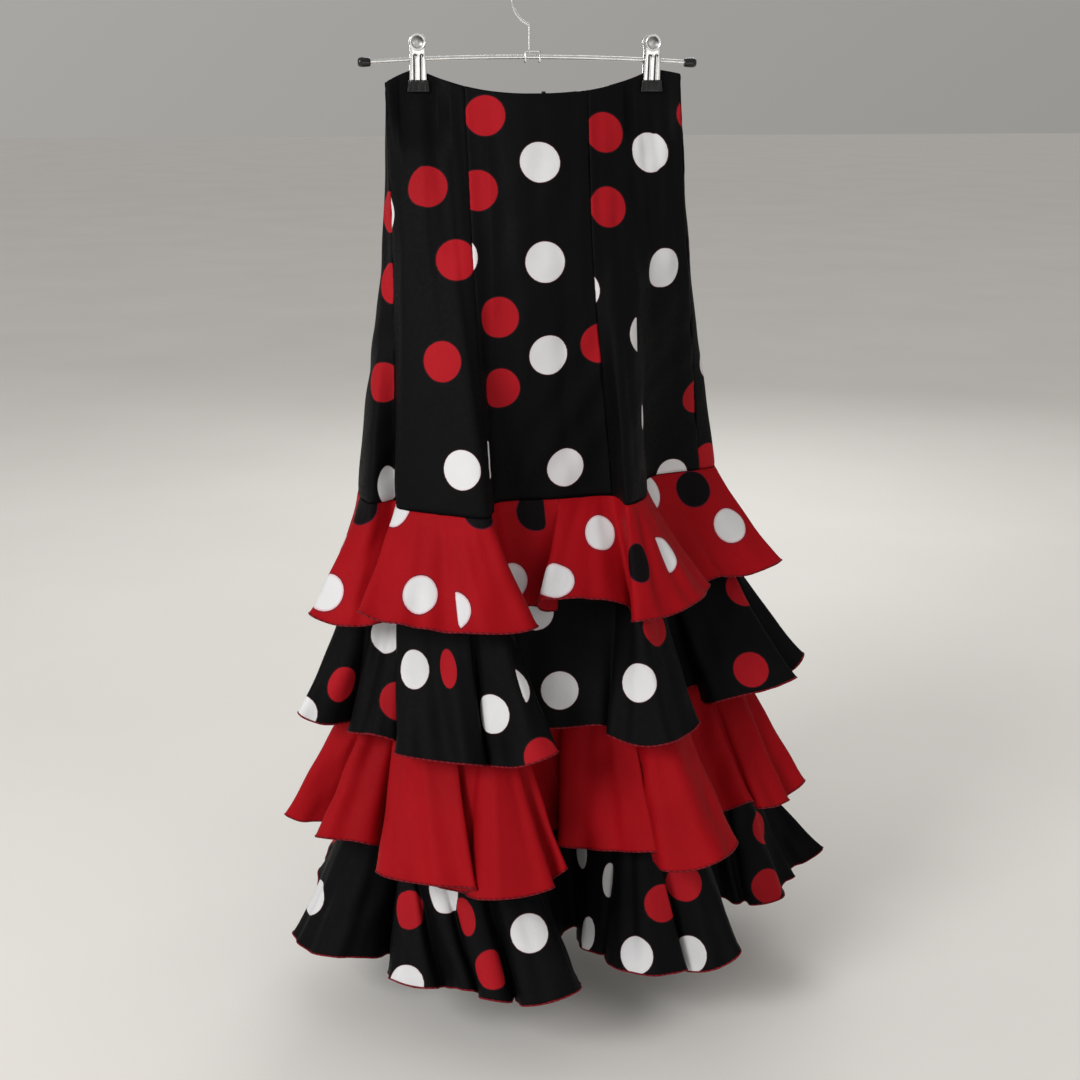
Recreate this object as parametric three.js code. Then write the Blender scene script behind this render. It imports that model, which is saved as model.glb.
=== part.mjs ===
// A four-tier flamenco skirt hanging from a two-clip wire hanger.
// Millimetres, +Z up, +X along the hanger bar, the skirt's front towards -Y.
// The origin is the inner crown of the hook, where the hanger rests on its rail.
import * as THREE from 'three';

// ---------------------------------------------------------------- cloth
const WALL = 1.4;               // thickness of every cloth wall
const SEAM_GAP = 0.3;           // clear gap between two pieces at a seam
const LAYER = WALL + SEAM_GAP;  // step from one cloth layer to the next
const MITER = 1.6;              // most that a wall's step grows at a sharp fold
const CLEAR = 1.0;              // least gap between two tiers that overlap

// Heights, all measured down from the hook's inner crown.
const WAIST_AT_CLIPS = 97;
const WAIST_SAG = 24;           // how far the waist drops between the clips
const CORNER_DROP = { left: 13, right: 5 };  // how far it drops outside each clip
const LEVELS = [97, 288, 538, 883];  // waist, hip, first tier seam, last tier seam
const [, , FIRST_SEAM, LAST_SEAM] = LEVELS;
const BASE_TOP = FIRST_SEAM + SEAM_GAP;  // the ruffle base hangs from the gores' seam
const BASE_BOTTOM = LAST_SEAM + 7;

// Where the clips hold the waist, and how wide they hold it flat.
const CLIP_X = { left: -125, right: 116 };
const CLIP_FLAT = 19;           // half width of the flat stretch under a clip
const PINCHED = WALL + 0.25;    // half gap of the outer surfaces in a clip
const HELD_DOWN = 127;          // depth to which a clip holds the cloth flat
const RELEASE = 55;             // further depth over which it opens again
const CLIP_FADE = 12;           // and the width over which it opens sideways
const MID_OPENING = 13;         // extra half gap of the waist at the middle
const END_OPENING = 4;          // extra half gap outside the clips

// The skirt body, once round from the left side seam: left, front, right, back.
// waist: x along the flat waist and its side (-1 front, 1 back, 0 end fold).
// hip, seam and foot: x, y of the outer surface at LEVELS[1], [2] and [3].
const FOLDS = [
  { fold: 'left side seam', waist: -158, side: -0.3, hip: [-157, -20], seam: [-161, -33], foot: [-158, -30] },
  { fold: 'left strip', waist: -148, side: -1, hip: [-149, -44], seam: [-160, -66], foot: [-166, -72] },
  { fold: 'front left', waist: -118, side: -1, hip: [-116, -60], seam: [-115, -100], foot: [-128, -104] },
  { fold: 'front left crest', waist: -97, side: -1, hip: [-92, -68], seam: [-73, -121], foot: [-64, -128] },
  { fold: 'front left seam', waist: -79, side: -1, hip: [-77, -66], seam: [-62, -97], foot: [-34, -106] },
  { fold: 'front left valley', waist: -60, side: -1, hip: [-58, -64], seam: [-54, -58], foot: [20, -24] },
  { fold: 'front centre', waist: -14, side: -1, hip: [-10, -68], seam: [3, -54], foot: [58, -64] },
  { fold: 'front right seam', waist: 48, side: -1, hip: [47, -60], seam: [72, -47], foot: [88, -90] },
  { fold: 'front right crest', waist: 62, side: -1, hip: [66, -58], seam: [80, -88], foot: [112, -108] },
  { fold: 'front right strip', waist: 84, side: -1, hip: [94, -46], seam: [106, -60], foot: [146, -84] },
  { fold: 'front right valley', waist: 102, side: -1, hip: [112, -28], seam: [122, 14], foot: [176, -6] },
  { fold: 'right panel', waist: 126, side: -1, hip: [138, -18], seam: [140, 38], foot: [204, 14] },
  { fold: 'right side seam', waist: 146, side: -0.5, hip: [160, -4], seam: [194, 56], foot: [240, 24] },
  { fold: 'right edge', waist: 145, side: 0.6, hip: [163, 14], seam: [216, 74], foot: [250, 56] },
  { fold: 'back right side', waist: 118, side: 1, hip: [136, 40], seam: [180, 112], foot: [214, 124] },
  { fold: 'back right seam', waist: 72, side: 1, hip: [88, 50], seam: [108, 110], foot: [150, 122] },
  { fold: 'back right', waist: 38, side: 1, hip: [44, 58], seam: [60, 136], foot: [80, 156] },
  { fold: 'back centre seam', waist: 6, side: 1, hip: [4, 58], seam: [8, 130], foot: [14, 148] },
  { fold: 'back left', waist: -38, side: 1, hip: [-42, 54], seam: [-46, 112], foot: [-55, 128] },
  { fold: 'back left seam', waist: -78, side: 1, hip: [-88, 50], seam: [-100, 124], foot: [-110, 150] },
  { fold: 'back left side', waist: -122, side: 1, hip: [-140, 40], seam: [-162, 88], foot: [-178, 108] },
  { fold: 'left edge', waist: -156, side: 1, hip: [-166, 20], seam: [-198, 22], foot: [-212, 40] },
  { fold: 'left crest', waist: -158, side: 0.3, hip: [-164, -4], seam: [-187, -46], foot: [-206, -30] },
];
const GORES = [
  { name: 'gore_front_side_left', from: 'left side seam', to: 'front left seam' },
  { name: 'gore_front_centre', from: 'front left seam', to: 'front right seam' },
  { name: 'gore_front_side_right', from: 'front right seam', to: 'right side seam' },
  { name: 'gore_back_side_right', from: 'right side seam', to: 'back right seam' },
  { name: 'gore_back_right', from: 'back right seam', to: 'back centre seam' },
  { name: 'gore_back_left', from: 'back centre seam', to: 'back left seam' },
  { name: 'gore_back_side_left', from: 'back left seam', to: 'left side seam' },
];
const GORE_STEPS = 4;   // columns between two folds
const GORE_ROWS = [0, 0.07, 0.17, 0.33, 0.55, 0.78, 1];  // rows down a gore, as shares
const BASE_BANDS = 6;
const BASE_INSET = LAYER + 0.6;  // the base lies this far inside the body's outer face

// The tiers. seam is the height of the seam, length the cut depth of the strip.
// Each fold row: from and to are the places on the body's folds where the fold
// starts and ends at the seam; left and right are the fold's two hem corners;
// bulge is how far the hem between them stands out of the straight line; valley
// is where the hem goes in behind it; cut, where given, is this fold's own depth.
const TIERS = [
  { name: 'ruffle_1', seam: FIRST_SEAM + SEAM_GAP, length: 122, red: true, folds: [
    { fold: 'left', from: -1.4, to: -0.3, left: [-257, -64], right: [-186, -92], bulge: 6, valley: [-172, -84], cut: 133 },
    { fold: 'front left', from: 0.7, to: 3.2, left: [-206, -122], right: [-27, -166], bulge: 16, valley: [-44, -94], cut: 122 },
    { fold: 'front recess', from: 4.7, to: 5.9, left: [-38, -72], right: [2, -74], bulge: 2, valley: [10, -70], cut: 116 },
    { fold: 'centre', from: 6.2, to: 7.1, left: [-20, -118], right: [82, -112], bulge: 10, valley: [86, -106], cut: 122 },
    { fold: 'middle right', from: 8, to: 9.4, left: [80, -148], right: [178, -62], bulge: 16, valley: [166, -24], cut: 124 },
    { fold: 'right', from: 10.8, to: 12.9, left: [192, -14], right: [286, 22], bulge: -2, valley: [246, 66], cut: 134 },
    { fold: 'back right side', from: 13.4, to: 14.6, left: [264, 104], right: [204, 184], bulge: 12, valley: [164, 158] },
    { fold: 'back right', from: 14.9, to: 16, left: [146, 200], right: [62, 218], bulge: 12, valley: [40, 172] },
    { fold: 'back centre', from: 16.4, to: 17.6, left: [14, 218], right: [-62, 198], bulge: 10, valley: [-78, 154] },
    { fold: 'back left', from: 17.9, to: 19.2, left: [-108, 200], right: [-178, 172], bulge: 12, valley: [-178, 132] },
    { fold: 'back left side', from: 19.6, to: 21, left: [-208, 126], right: [-234, 34], bulge: 6, valley: [-216, -4] },
  ] },
  { name: 'ruffle_2', seam: 623, length: 166, red: false, folds: [
    { fold: 'left back', from: -1.6, to: -0.9, left: [-273, -50], right: [-234, -48], bulge: 3, valley: [-212, -30], cut: 168 },
    { fold: 'left', from: -0.6, to: 0.4, left: [-219, -62], right: [-172, -112], bulge: 10, valley: [-163, -100], cut: 172 },
    { fold: 'front left', from: 0.9, to: 2.4, left: [-172, -138], right: [-80, -172], bulge: 8, valley: [-84, -132], cut: 177 },
    { fold: 'front left inner', from: 2.7, to: 3.7, left: [-71, -164], right: [-6, -180], bulge: 20, valley: [-24, -96], cut: 175 },
    { fold: 'centre', from: 5.6, to: 6.9, left: [-13, -100], right: [52, -112], bulge: -2, valley: [60, -106], cut: 166 },
    { fold: 'centre right', from: 7.2, to: 9.2, left: [56, -132], right: [155, -126], bulge: 30, valley: [148, -80], cut: 174 },
    { fold: 'right inner', from: 9.9, to: 10.4, left: [165, -14], right: [186, -10], bulge: 0, valley: [188, -4], cut: 162 },
    { fold: 'right', from: 10.8, to: 12.4, left: [188, -46], right: [292, -34], bulge: 4, valley: [272, -6], cut: 188 },
    { fold: 'far right', from: 12.7, to: 13.3, left: [291, -2], right: [314, 6], bulge: 2, valley: [264, 86], cut: 178 },
    { fold: 'back right side', from: 13.8, to: 14.6, left: [268, 140], right: [222, 200], bulge: 10, valley: [180, 160] },
    { fold: 'back right', from: 14.9, to: 15.8, left: [164, 216], right: [90, 240], bulge: 12, valley: [64, 184] },
    { fold: 'back centre', from: 16.2, to: 17.2, left: [38, 242], right: [-44, 224], bulge: 12, valley: [-58, 164] },
    { fold: 'back left', from: 17.6, to: 19, left: [-94, 222], right: [-172, 198], bulge: 12, valley: [-176, 140] },
    { fold: 'back left side', from: 19.4, to: 20.4, left: [-212, 148], right: [-244, 64], bulge: 6, valley: [-220, 24] },
  ] },
  { name: 'ruffle_3', seam: 748, length: 184, red: true, folds: [
    { fold: 'left', from: -1.5, to: -1, left: [-296, -8], right: [-258, -16], bulge: 2, valley: [-240, -10], cut: 182 },
    { fold: 'left inner', from: -0.7, to: 0.3, left: [-260, -74], right: [-189, -78], bulge: 18, valley: [-182, -64], cut: 178 },
    { fold: 'front left', from: 0.8, to: 2.2, left: [-193, -150], right: [-92, -196], bulge: 4, valley: [-132, -150], cut: 192 },
    { fold: 'front left inner', from: 2.4, to: 3.5, left: [-122, -144], right: [-16, -205], bulge: 34, valley: [-14, -174], cut: 194 },
    { fold: 'thin fold', from: 3.7, to: 4, left: [-8, -180], right: [1, -188], bulge: 0, valley: [-4, -84], cut: 186 },
    { fold: 'front recess', from: 4.6, to: 5.3, left: [7, -60], right: [17, -52], bulge: 0, valley: [16, -64], cut: 178 },
    { fold: 'centre', from: 5.7, to: 7.1, left: [10, -92], right: [108, -158], bulge: -4, valley: [104, -138], cut: 184 },
    { fold: 'centre right', from: 7.6, to: 9.2, left: [113, -172], right: [196, -156], bulge: 22, valley: [178, -94], cut: 194 },
    { fold: 'right inner', from: 10.4, to: 11.2, left: [197, -62], right: [236, -70], bulge: 2, valley: [240, -58], cut: 188 },
    { fold: 'right', from: 11.4, to: 12.3, left: [244, -74], right: [281, -62], bulge: 4, valley: [276, -48], cut: 198 },
    { fold: 'far right', from: 12.6, to: 13.1, left: [284, -42], right: [310, -28], bulge: 2, valley: [278, 62], cut: 194 },
    { fold: 'back right side', from: 13.8, to: 14.6, left: [288, 152], right: [234, 216], bulge: 10, valley: [190, 168] },
    { fold: 'back right', from: 14.9, to: 15.8, left: [172, 234], right: [96, 260], bulge: 12, valley: [68, 194] },
    { fold: 'back centre', from: 16.2, to: 17.2, left: [38, 264], right: [-50, 244], bulge: 12, valley: [-62, 182] },
    { fold: 'back left', from: 17.6, to: 19, left: [-100, 238], right: [-186, 212], bulge: 12, valley: [-188, 150] },
    { fold: 'back left side', from: 19.4, to: 20.4, left: [-226, 160], right: [-256, 84], bulge: 6, valley: [-232, 40] },
  ] },
  { name: 'ruffle_4', seam: LAST_SEAM, length: 186, red: false, folds: [
    { fold: 'left', from: -1.3, to: -0.1, left: [-289, -22], right: [-206, -80], bulge: 30, valley: [-182, -52], cut: 188 },
    { fold: 'front left', from: 0.5, to: 1.1, left: [-183, -150], right: [-138, -166], bulge: 6, valley: [-127, -148], cut: 192 },
    { fold: 'narrow one', from: 1.4, to: 1.7, left: [-115, -178], right: [-96, -186], bulge: 2, valley: [-92, -172], cut: 190 },
    { fold: 'narrow two', from: 2, to: 2.4, left: [-89, -198], right: [-63, -206], bulge: 4, valley: [-51, -170], cut: 192 },
    { fold: 'front', from: 2.8, to: 3.8, left: [-44, -212], right: [20, -168], bulge: 26, valley: [4, -80], cut: 190 },
    { fold: 'front gap', from: 4.6, to: 5.2, left: [16, -46], right: [38, -24], bulge: 0, valley: [40, -46] },
    { fold: 'right of the gap', from: 5.8, to: 6.4, left: [36, -70], right: [58, -96], bulge: 3, valley: [63, -90] },
    { fold: 'centre', from: 6.7, to: 7.8, left: [62, -126], right: [147, -152], bulge: 22, valley: [120, -130] },
    { fold: 'centre right', from: 8.1, to: 9.3, left: [129, -120], right: [203, -158], bulge: 18, valley: [192, -40], cut: 190 },
    { fold: 'right inner', from: 10.7, to: 11.2, left: [226, 18], right: [241, -10], bulge: 2, valley: [249, 0] },
    { fold: 'right', from: 11.5, to: 12.1, left: [260, -20], right: [298, -14], bulge: 4, valley: [300, 10] },
    { fold: 'right outer', from: 12.4, to: 12.7, left: [308, 28], right: [326, 30], bulge: 2, valley: [318, 46] },
    { fold: 'far right', from: 13, to: 13.4, left: [334, 64], right: [366, 46], bulge: 0, valley: [304, 122], cut: 194 },
    { fold: 'back right side', from: 13.8, to: 14.6, left: [318, 178], right: [258, 240], bulge: 10, valley: [208, 182] },
    { fold: 'back right', from: 14.9, to: 15.8, left: [186, 258], right: [102, 288], bulge: 12, valley: [74, 210] },
    { fold: 'back centre', from: 16.2, to: 17.2, left: [40, 292], right: [-56, 272], bulge: 12, valley: [-66, 190] },
    { fold: 'back left', from: 17.6, to: 19, left: [-110, 264], right: [-200, 236], bulge: 12, valley: [-198, 166] },
    { fold: 'back left side', from: 19.4, to: 20.4, left: [-236, 176], right: [-262, 92], bulge: 6, valley: [-238, 40] },
  ] },
];
const TIER_STEPS = 2;            // columns between two hem control points
const TIER_ROWS = [0, 0.3, 0.64, 1];  // rows down a tier, as shares of its cut depth
const FLARE_EASE = 0.18;         // how much a tier hangs before it flares out
const EDGE_REACH = 4;            // how far above a layer's top edge it still counts
const CHORD_REACH = 6;           // how far past a chord the layer beneath is looked for

// ---------------------------------------------------------------- hanger
const BAR = { radius: 2.2, left: -182, right: 160, endZ: -90.6, midZ: -85.4 };
const CAP = { radius: 4.9, length: 13, bore: 2.5, boreDepth: 10.3 };
const HOOK = { wire: 1.5, bend: 29, neckX: -11, neckBottom: -78.8, tipAngle: -4 };
const SADDLE = { width: 16, depth: 9, thick: 1.2, topZ: -79.1, bottomZ: -91, offX: 3, bend: 0.4 };
const CLIP = {
  discRadius: 8.5, discZ: -71, neckWidth: 15.4, tipWidth: 17.8, plateBottomZ: -108,
  plate: 1.2, plateY: 8, springOuter: 5.4, springInner: 2.9, springWidth: 11,
};
const TIP = { width: 22, height: 11, thick: 4, corner: 2 };
const SLIDER = { width: 5, height: 8, thick: 2.4, above: 2, off: 0.9 };

// ---------------------------------------------------------------- finishes
const finish = (colour, roughness, metalness = 0) =>
  new THREE.MeshStandardMaterial({ color: colour, roughness, metalness, side: THREE.DoubleSide });
const BLACK_CREPE = () => finish(0x121214, 0.62);
const RED_CREPE = () => finish(0xb01822, 0.6);
const STEEL = () => finish(0xc8c8c6, 0.3, 1);
const PVC = () => finish(0x0c0c0c, 0.25);

// ---------------------------------------------------------------- curves
const lerp = (a, b, t) => a + (b - a) * t;
const wrap = (i, n) => ((i % n) + n) % n;

// Smooth value through the body's four levels at depth `down`.
function alongLevels(values, down) {
  let i = 0;
  while (i < LEVELS.length - 2 && down > LEVELS[i + 1]) i += 1;
  const slope = (k) => {
    const a = Math.max(k - 1, 0);
    const b = Math.min(k + 1, LEVELS.length - 1);
    return (values[b] - values[a]) / (LEVELS[b] - LEVELS[a]);
  };
  const span = LEVELS[i + 1] - LEVELS[i];
  const t = (down - LEVELS[i]) / span;
  if (t > 1) return values[i + 1] + (down - LEVELS[i + 1]) * slope(i + 1);
  const t2 = t * t;
  const t3 = t2 * t;
  return (2 * t3 - 3 * t2 + 1) * values[i] + (t3 - 2 * t2 + t) * span * slope(i)
    + (3 * t2 - 2 * t3) * values[i + 1] + (t3 - t2) * span * slope(i + 1);
}

// Half gap between the outer surfaces of the flat waist at x.
function waistHalfGap(x) {
  const toLeft = x - CLIP_X.left;
  const toRight = CLIP_X.right - x;
  if (toLeft > CLIP_FLAT && toRight > CLIP_FLAT) {
    const share = (toLeft - CLIP_FLAT) / (toLeft + toRight - 2 * CLIP_FLAT);
    return PINCHED + MID_OPENING * Math.sin(Math.PI * share) ** 1.5;
  }
  const outside = Math.max(-toLeft, -toRight) - CLIP_FLAT;
  return PINCHED + (outside > 0 ? END_OPENING * Math.min(1, outside / CLIP_FADE) : 0);
}

// Depth of the waist edge at x.
function waistDown(x) {
  const middle = (CLIP_X.left + CLIP_X.right) / 2;
  const half = (CLIP_X.right - CLIP_X.left) / 2;
  const share = Math.abs(x - middle) / half;
  if (share < 1) return WAIST_AT_CLIPS + WAIST_SAG * (1 - share ** 2.4);
  const drop = x < middle ? CORNER_DROP.left : CORNER_DROP.right;
  return WAIST_AT_CLIPS + drop * Math.min(1, (share - 1) * half / 32) ** 1.5;
}

const foldXY = FOLDS.map((row) => [
  [row.waist, row.side * waistHalfGap(row.waist)], row.hip, row.seam, row.foot,
]);

// Closed centripetal curve through points, sampled `steps` times between two.
function closedCurve(points, steps) {
  const curve = new THREE.CatmullRomCurve3(points.map(([x, y]) => new THREE.Vector3(x, y, 0)), true, 'centripetal');
  const count = points.length * steps;
  return Array.from({ length: count }, (_, i) => {
    const p = curve.getPoint(i / count);
    return [p.x, p.y];
  });
}

// Outer section of the skirt body at depth `down`.
function bodySection(down, steps) {
  return closedCurve(foldXY.map((levels) => [0, 1].map((axis) =>
    alongLevels(levels.map((xy) => xy[axis]), down))), steps);
}

// How firmly the clips hold the cloth flat at x and depth `down`, from 0 to 1.
function clipHold(x, down) {
  const away = Math.min(Math.abs(x - CLIP_X.left), Math.abs(x - CLIP_X.right)) - CLIP_FLAT;
  const across = 1 - Math.min(1, Math.max(0, away / CLIP_FADE));
  const below = 1 - Math.min(1, Math.max(0, (down - HELD_DOWN) / RELEASE));
  return across * below * below * (3 - 2 * below);
}

// Grid of the body's outer face: a column for each step, rows at rowsDown(x).
function bodyGrid(steps, rowsDown) {
  const flat = bodySection(WAIST_AT_CLIPS, steps);
  return flat.map(([x], i) => rowsDown(x).map((down) => {
    const [sx, sy] = bodySection(down, steps)[i];
    return new THREE.Vector3(sx, lerp(sy, Math.sign(sy) * PINCHED, clipHold(sx, down)), -down);
  }));
}

// ---------------------------------------------------------------- walls
// Unit normal of a grid of points at column i, row j, facing out of the skirt,
// and how much longer a wall's step has to be at a sharp fold.
function outward(grid, i, j, closed) {
  const n = grid.length;
  const rows = grid[0].length;
  const at = (k) => grid[closed ? wrap(k, n) : Math.min(Math.max(k, 0), n - 1)][j];
  const down = grid[i][Math.min(j + 1, rows - 1)].clone().sub(grid[i][Math.max(j - 1, 0)]);
  const before = at(i).clone().sub(at(i - 1));
  const after = at(i + 1).clone().sub(at(i));
  if (before.lengthSq() === 0) before.copy(after);
  if (after.lengthSq() === 0) after.copy(before);
  const a = down.clone().cross(before).normalize();
  const b = down.clone().cross(after).normalize();
  const normal = a.clone().add(b).normalize();
  return { normal, stretch: Math.min(1 / Math.max(normal.dot(a), 0.1), MITER) };
}

function offsetGrid(grid, distance, closed) {
  return grid.map((column, i) => column.map((point, j) => {
    const { normal, stretch } = outward(grid, i, j, closed);
    return point.clone().addScaledVector(normal, distance * stretch);
  }));
}

// A closed wall between an outer grid and its inner one, WALL inside.
function clothWall(grid, closed, inner = offsetGrid(grid, -WALL, closed)) {
  const columns = grid.length;
  const rows = grid[0].length;
  const position = [];
  for (const side of [grid, inner]) {
    for (const column of side) for (const point of column) position.push(point.x, point.y, point.z);
  }
  const id = (side, i, j) => (side * columns + wrap(i, columns)) * rows + j;
  const index = [];
  const quad = (a, b, c, d) => index.push(a, b, c, a, c, d);
  const lastColumn = closed ? columns : columns - 1;
  for (let i = 0; i < lastColumn; i += 1) {
    for (let j = 0; j < rows - 1; j += 1) {
      quad(id(0, i, j), id(0, i, j + 1), id(0, i + 1, j + 1), id(0, i + 1, j));
      quad(id(1, i, j), id(1, i + 1, j), id(1, i + 1, j + 1), id(1, i, j + 1));
    }
    quad(id(0, i, 0), id(0, i + 1, 0), id(1, i + 1, 0), id(1, i, 0));
    quad(id(0, i, rows - 1), id(1, i, rows - 1), id(1, i + 1, rows - 1), id(0, i + 1, rows - 1));
  }
  if (!closed) {
    for (let j = 0; j < rows - 1; j += 1) {
      quad(id(0, 0, j), id(1, 0, j), id(1, 0, j + 1), id(0, 0, j + 1));
      const k = columns - 1;
      quad(id(0, k, j), id(0, k, j + 1), id(1, k, j + 1), id(1, k, j));
    }
  }
  const geometry = new THREE.BufferGeometry();
  geometry.setAttribute('position', new THREE.Float32BufferAttribute(position, 3));
  geometry.setIndex(index);
  geometry.computeVertexNormals();
  return geometry;
}

// ---------------------------------------------------------------- skirt body
const foldIndex = (name) => FOLDS.findIndex((row) => row.fold === name);

function buildGores() {
  const grid = bodyGrid(GORE_STEPS, (x) => GORE_ROWS.map((share) => lerp(waistDown(x), FIRST_SEAM, share)));
  const inner = offsetGrid(grid, -WALL, true);
  const pull = (column, neighbour) => column.forEach((point, j) => {
    point.addScaledVector(neighbour[j].clone().sub(point).normalize(), SEAM_GAP / 2);
  });
  return GORES.map(({ name, from, to }) => {
    const start = foldIndex(from) * GORE_STEPS;
    const count = wrap(foldIndex(to) - foldIndex(from), FOLDS.length) * GORE_STEPS;
    const [face, back] = [grid, inner].map((side) => {
      const strip = Array.from({ length: count + 1 }, (_, k) =>
        side[wrap(start + k, side.length)].map((point) => point.clone()));
      pull(strip[0], strip[1]);
      pull(strip[count], strip[count - 1]);
      return strip;
    });
    return { name, geometry: clothWall(face, false, back) };
  });
}

const baseRows = Array.from({ length: BASE_BANDS + 1 }, (_, j) => lerp(BASE_TOP, BASE_BOTTOM, j / BASE_BANDS));
const baseGrid = offsetGrid(bodyGrid(GORE_STEPS, () => baseRows), -BASE_INSET, true);

// ---------------------------------------------------------------- tiers
// Section of a grid at height z, as a closed list of points, or null. A grid
// that starts up to EDGE_REACH below z gives its top edge.
function sectionAt(grid, z) {
  const points = [];
  for (const column of grid) {
    const level = z < column[0].z + EDGE_REACH ? Math.min(z, column[0].z) : z;
    const j = column.findIndex((point, k) => k > 0 && column[k - 1].z >= level && point.z <= level);
    if (j < 0) continue;
    const [a, b] = [column[j - 1], column[j]];
    const t = (a.z - level) / (a.z - b.z || 1);
    points.push([lerp(a.x, b.x, t), lerp(a.y, b.y, t)]);
  }
  return points.length > 8 ? points : null;
}

// Moves a point out of a section until it is `gap` clear of it.
function pushClear(point, section, gap) {
  let best = { distance: Infinity };
  let inside = false;
  section.forEach(([ax, ay], i) => {
    const [bx, by] = section[(i + 1) % section.length];
    const length2 = (bx - ax) ** 2 + (by - ay) ** 2 || 1e-9;
    const t = Math.min(1, Math.max(0, ((point.x - ax) * (bx - ax) + (point.y - ay) * (by - ay)) / length2));
    const [cx, cy] = [lerp(ax, bx, t), lerp(ay, by, t)];
    const distance = Math.hypot(point.x - cx, point.y - cy);
    if (distance < best.distance) {
      const length = Math.sqrt(length2);
      best = { distance, cx, cy, nx: (by - ay) / length, ny: -(bx - ax) / length };
    }
    if ((ay > point.y) !== (by > point.y) && point.x < lerp(ax, bx, (point.y - ay) / (by - ay))) inside = !inside;
  });
  if (!inside && best.distance >= gap) return;
  let [nx, ny] = [best.nx, best.ny];
  if (!inside && best.distance > 1e-6) {
    [nx, ny] = [(point.x - best.cx) / best.distance, (point.y - best.cy) / best.distance];
  }
  point.x = best.cx + nx * gap;
  point.y = best.cy + ny * gap;
}

// Moves the two ends of a chord out until a section's points lie `gap` inside it.
function clearChord(a, b, section, gap) {
  const length = Math.hypot(b.x - a.x, b.y - a.y);
  if (length < 0.5) return;
  const [ux, uy] = [(b.x - a.x) / length, (b.y - a.y) / length];
  let short = 0;
  for (const [x, y] of section) {
    const along = (x - a.x) * ux + (y - a.y) * uy;
    const inside = -(x - a.x) * uy + (y - a.y) * ux;
    if (along < -gap || along > length + gap || inside < -CHORD_REACH || inside >= gap) continue;
    short = Math.max(short, gap - inside);
  }
  for (const end of [a, b]) {
    end.x += uy * short;
    end.y -= ux * short;
  }
}

// Hem control points of a tier: corner, crest, corner and valley of each fold.
function hemControls(tier) {
  return tier.folds.flatMap((row, k) => {
    const next = tier.folds[(k + 1) % tier.folds.length];
    const nextFrom = next.from + (k + 1 === tier.folds.length ? FOLDS.length : 0);
    const along = [row.right[0] - row.left[0], row.right[1] - row.left[1]];
    const length = Math.hypot(...along);
    const crest = [0, 1].map((axis) => (row.left[axis] + row.right[axis]) / 2);
    crest[0] += row.bulge * along[1] / length;
    crest[1] -= row.bulge * along[0] / length;
    const cut = row.cut ?? tier.length;
    const nextCut = next.cut ?? tier.length;
    return [
      { at: row.from, xy: row.left, cut },
      { at: (row.from + row.to) / 2, xy: crest, cut },
      { at: row.to, xy: row.right, cut },
      { at: (row.to + nextFrom) / 2, xy: row.valley, cut: (cut + nextCut) / 2 },
    ];
  });
}

// Grid of a tier's outer face, from its seam down to its hem, clear of `under`.
function tierGrid(tier, under) {
  const controls = hemControls(tier);
  const hem = closedCurve(controls.map((c) => c.xy), TIER_STEPS);
  const top = new THREE.CatmullRomCurve3(bodySection(tier.seam, 1)
    .map(([x, y]) => new THREE.Vector3(x, y, 0)), true, 'centripetal');
  const grid = hem.map(([x, y], i) => {
    const k = Math.floor(i / TIER_STEPS);
    const t = i / TIER_STEPS - k;
    const here = controls[k];
    const next = controls[(k + 1) % controls.length];
    const nextAt = next.at + (k + 1 === controls.length ? FOLDS.length : 0);
    const at = lerp(here.at, nextAt, t);
    const start = top.getPoint(wrap(at, FOLDS.length) / FOLDS.length);
    const cut = lerp(here.cut, next.cut, t);
    const reach = Math.min(Math.hypot(x - start.x, y - start.y), cut * 0.93);
    const drop = Math.sqrt(cut ** 2 - reach ** 2);
    return TIER_ROWS.map((share) => {
      const out = share * (1 - FLARE_EASE * (1 - share));
      return new THREE.Vector3(lerp(start.x, x, out), lerp(start.y, y, out), -tier.seam - share * drop);
    });
  });
  for (const layer of under) {
    for (const column of grid) {
      for (const point of column) {
        const section = sectionAt(layer.grid, point.z);
        if (section) pushClear(point, section, layer.gap);
      }
    }
    grid.forEach((column, i) => column.forEach((point, j) => {
      const next = grid[(i + 1) % grid.length][j];
      const section = sectionAt(layer.grid, (point.z + next.z) / 2);
      if (section) clearChord(point, next, section, layer.gap);
    }));
  }
  return grid;
}

// Inside out, so that each tier clears the one that it covers.
function buildTiers() {
  const built = [];
  let covered = null;
  for (const tier of [...TIERS].reverse()) {
    const under = [{ grid: baseGrid, gap: BASE_INSET + SEAM_GAP }];
    if (covered) under.push({ grid: covered, gap: LAYER + CLEAR });
    const grid = tierGrid(tier, under);
    built.unshift({ tier, grid });
    covered = grid;
  }
  return built;
}

// ---------------------------------------------------------------- hanger pieces
function tubeAlong(points, radius, sides, steps) {
  const circle = new THREE.Shape().absarc(0, 0, radius, 0, 2 * Math.PI, false);
  const section = new THREE.Shape(circle.getPoints(sides).slice(0, sides));
  const path = new THREE.CatmullRomCurve3(points.map((p) => new THREE.Vector3(...p)), false, 'centripetal');
  return new THREE.ExtrudeGeometry(section, { steps, bevelEnabled: false, extrudePath: path });
}

function barGeometry() {
  const mid = (BAR.left + BAR.right) / 2;
  const rise = BAR.midZ - BAR.endZ;
  const points = [-1, -0.5, 0, 0.5, 1].map((s) => [
    mid + s * (BAR.right - BAR.left) / 2, 0, BAR.endZ + rise * (1 - s * s)]);
  return tubeAlong(points, BAR.radius, 12, 16);
}

function barZ(x) {
  const mid = (BAR.left + BAR.right) / 2;
  const s = (x - mid) / ((BAR.right - BAR.left) / 2);
  return BAR.endZ + (BAR.midZ - BAR.endZ) * (1 - s * s);
}

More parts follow.
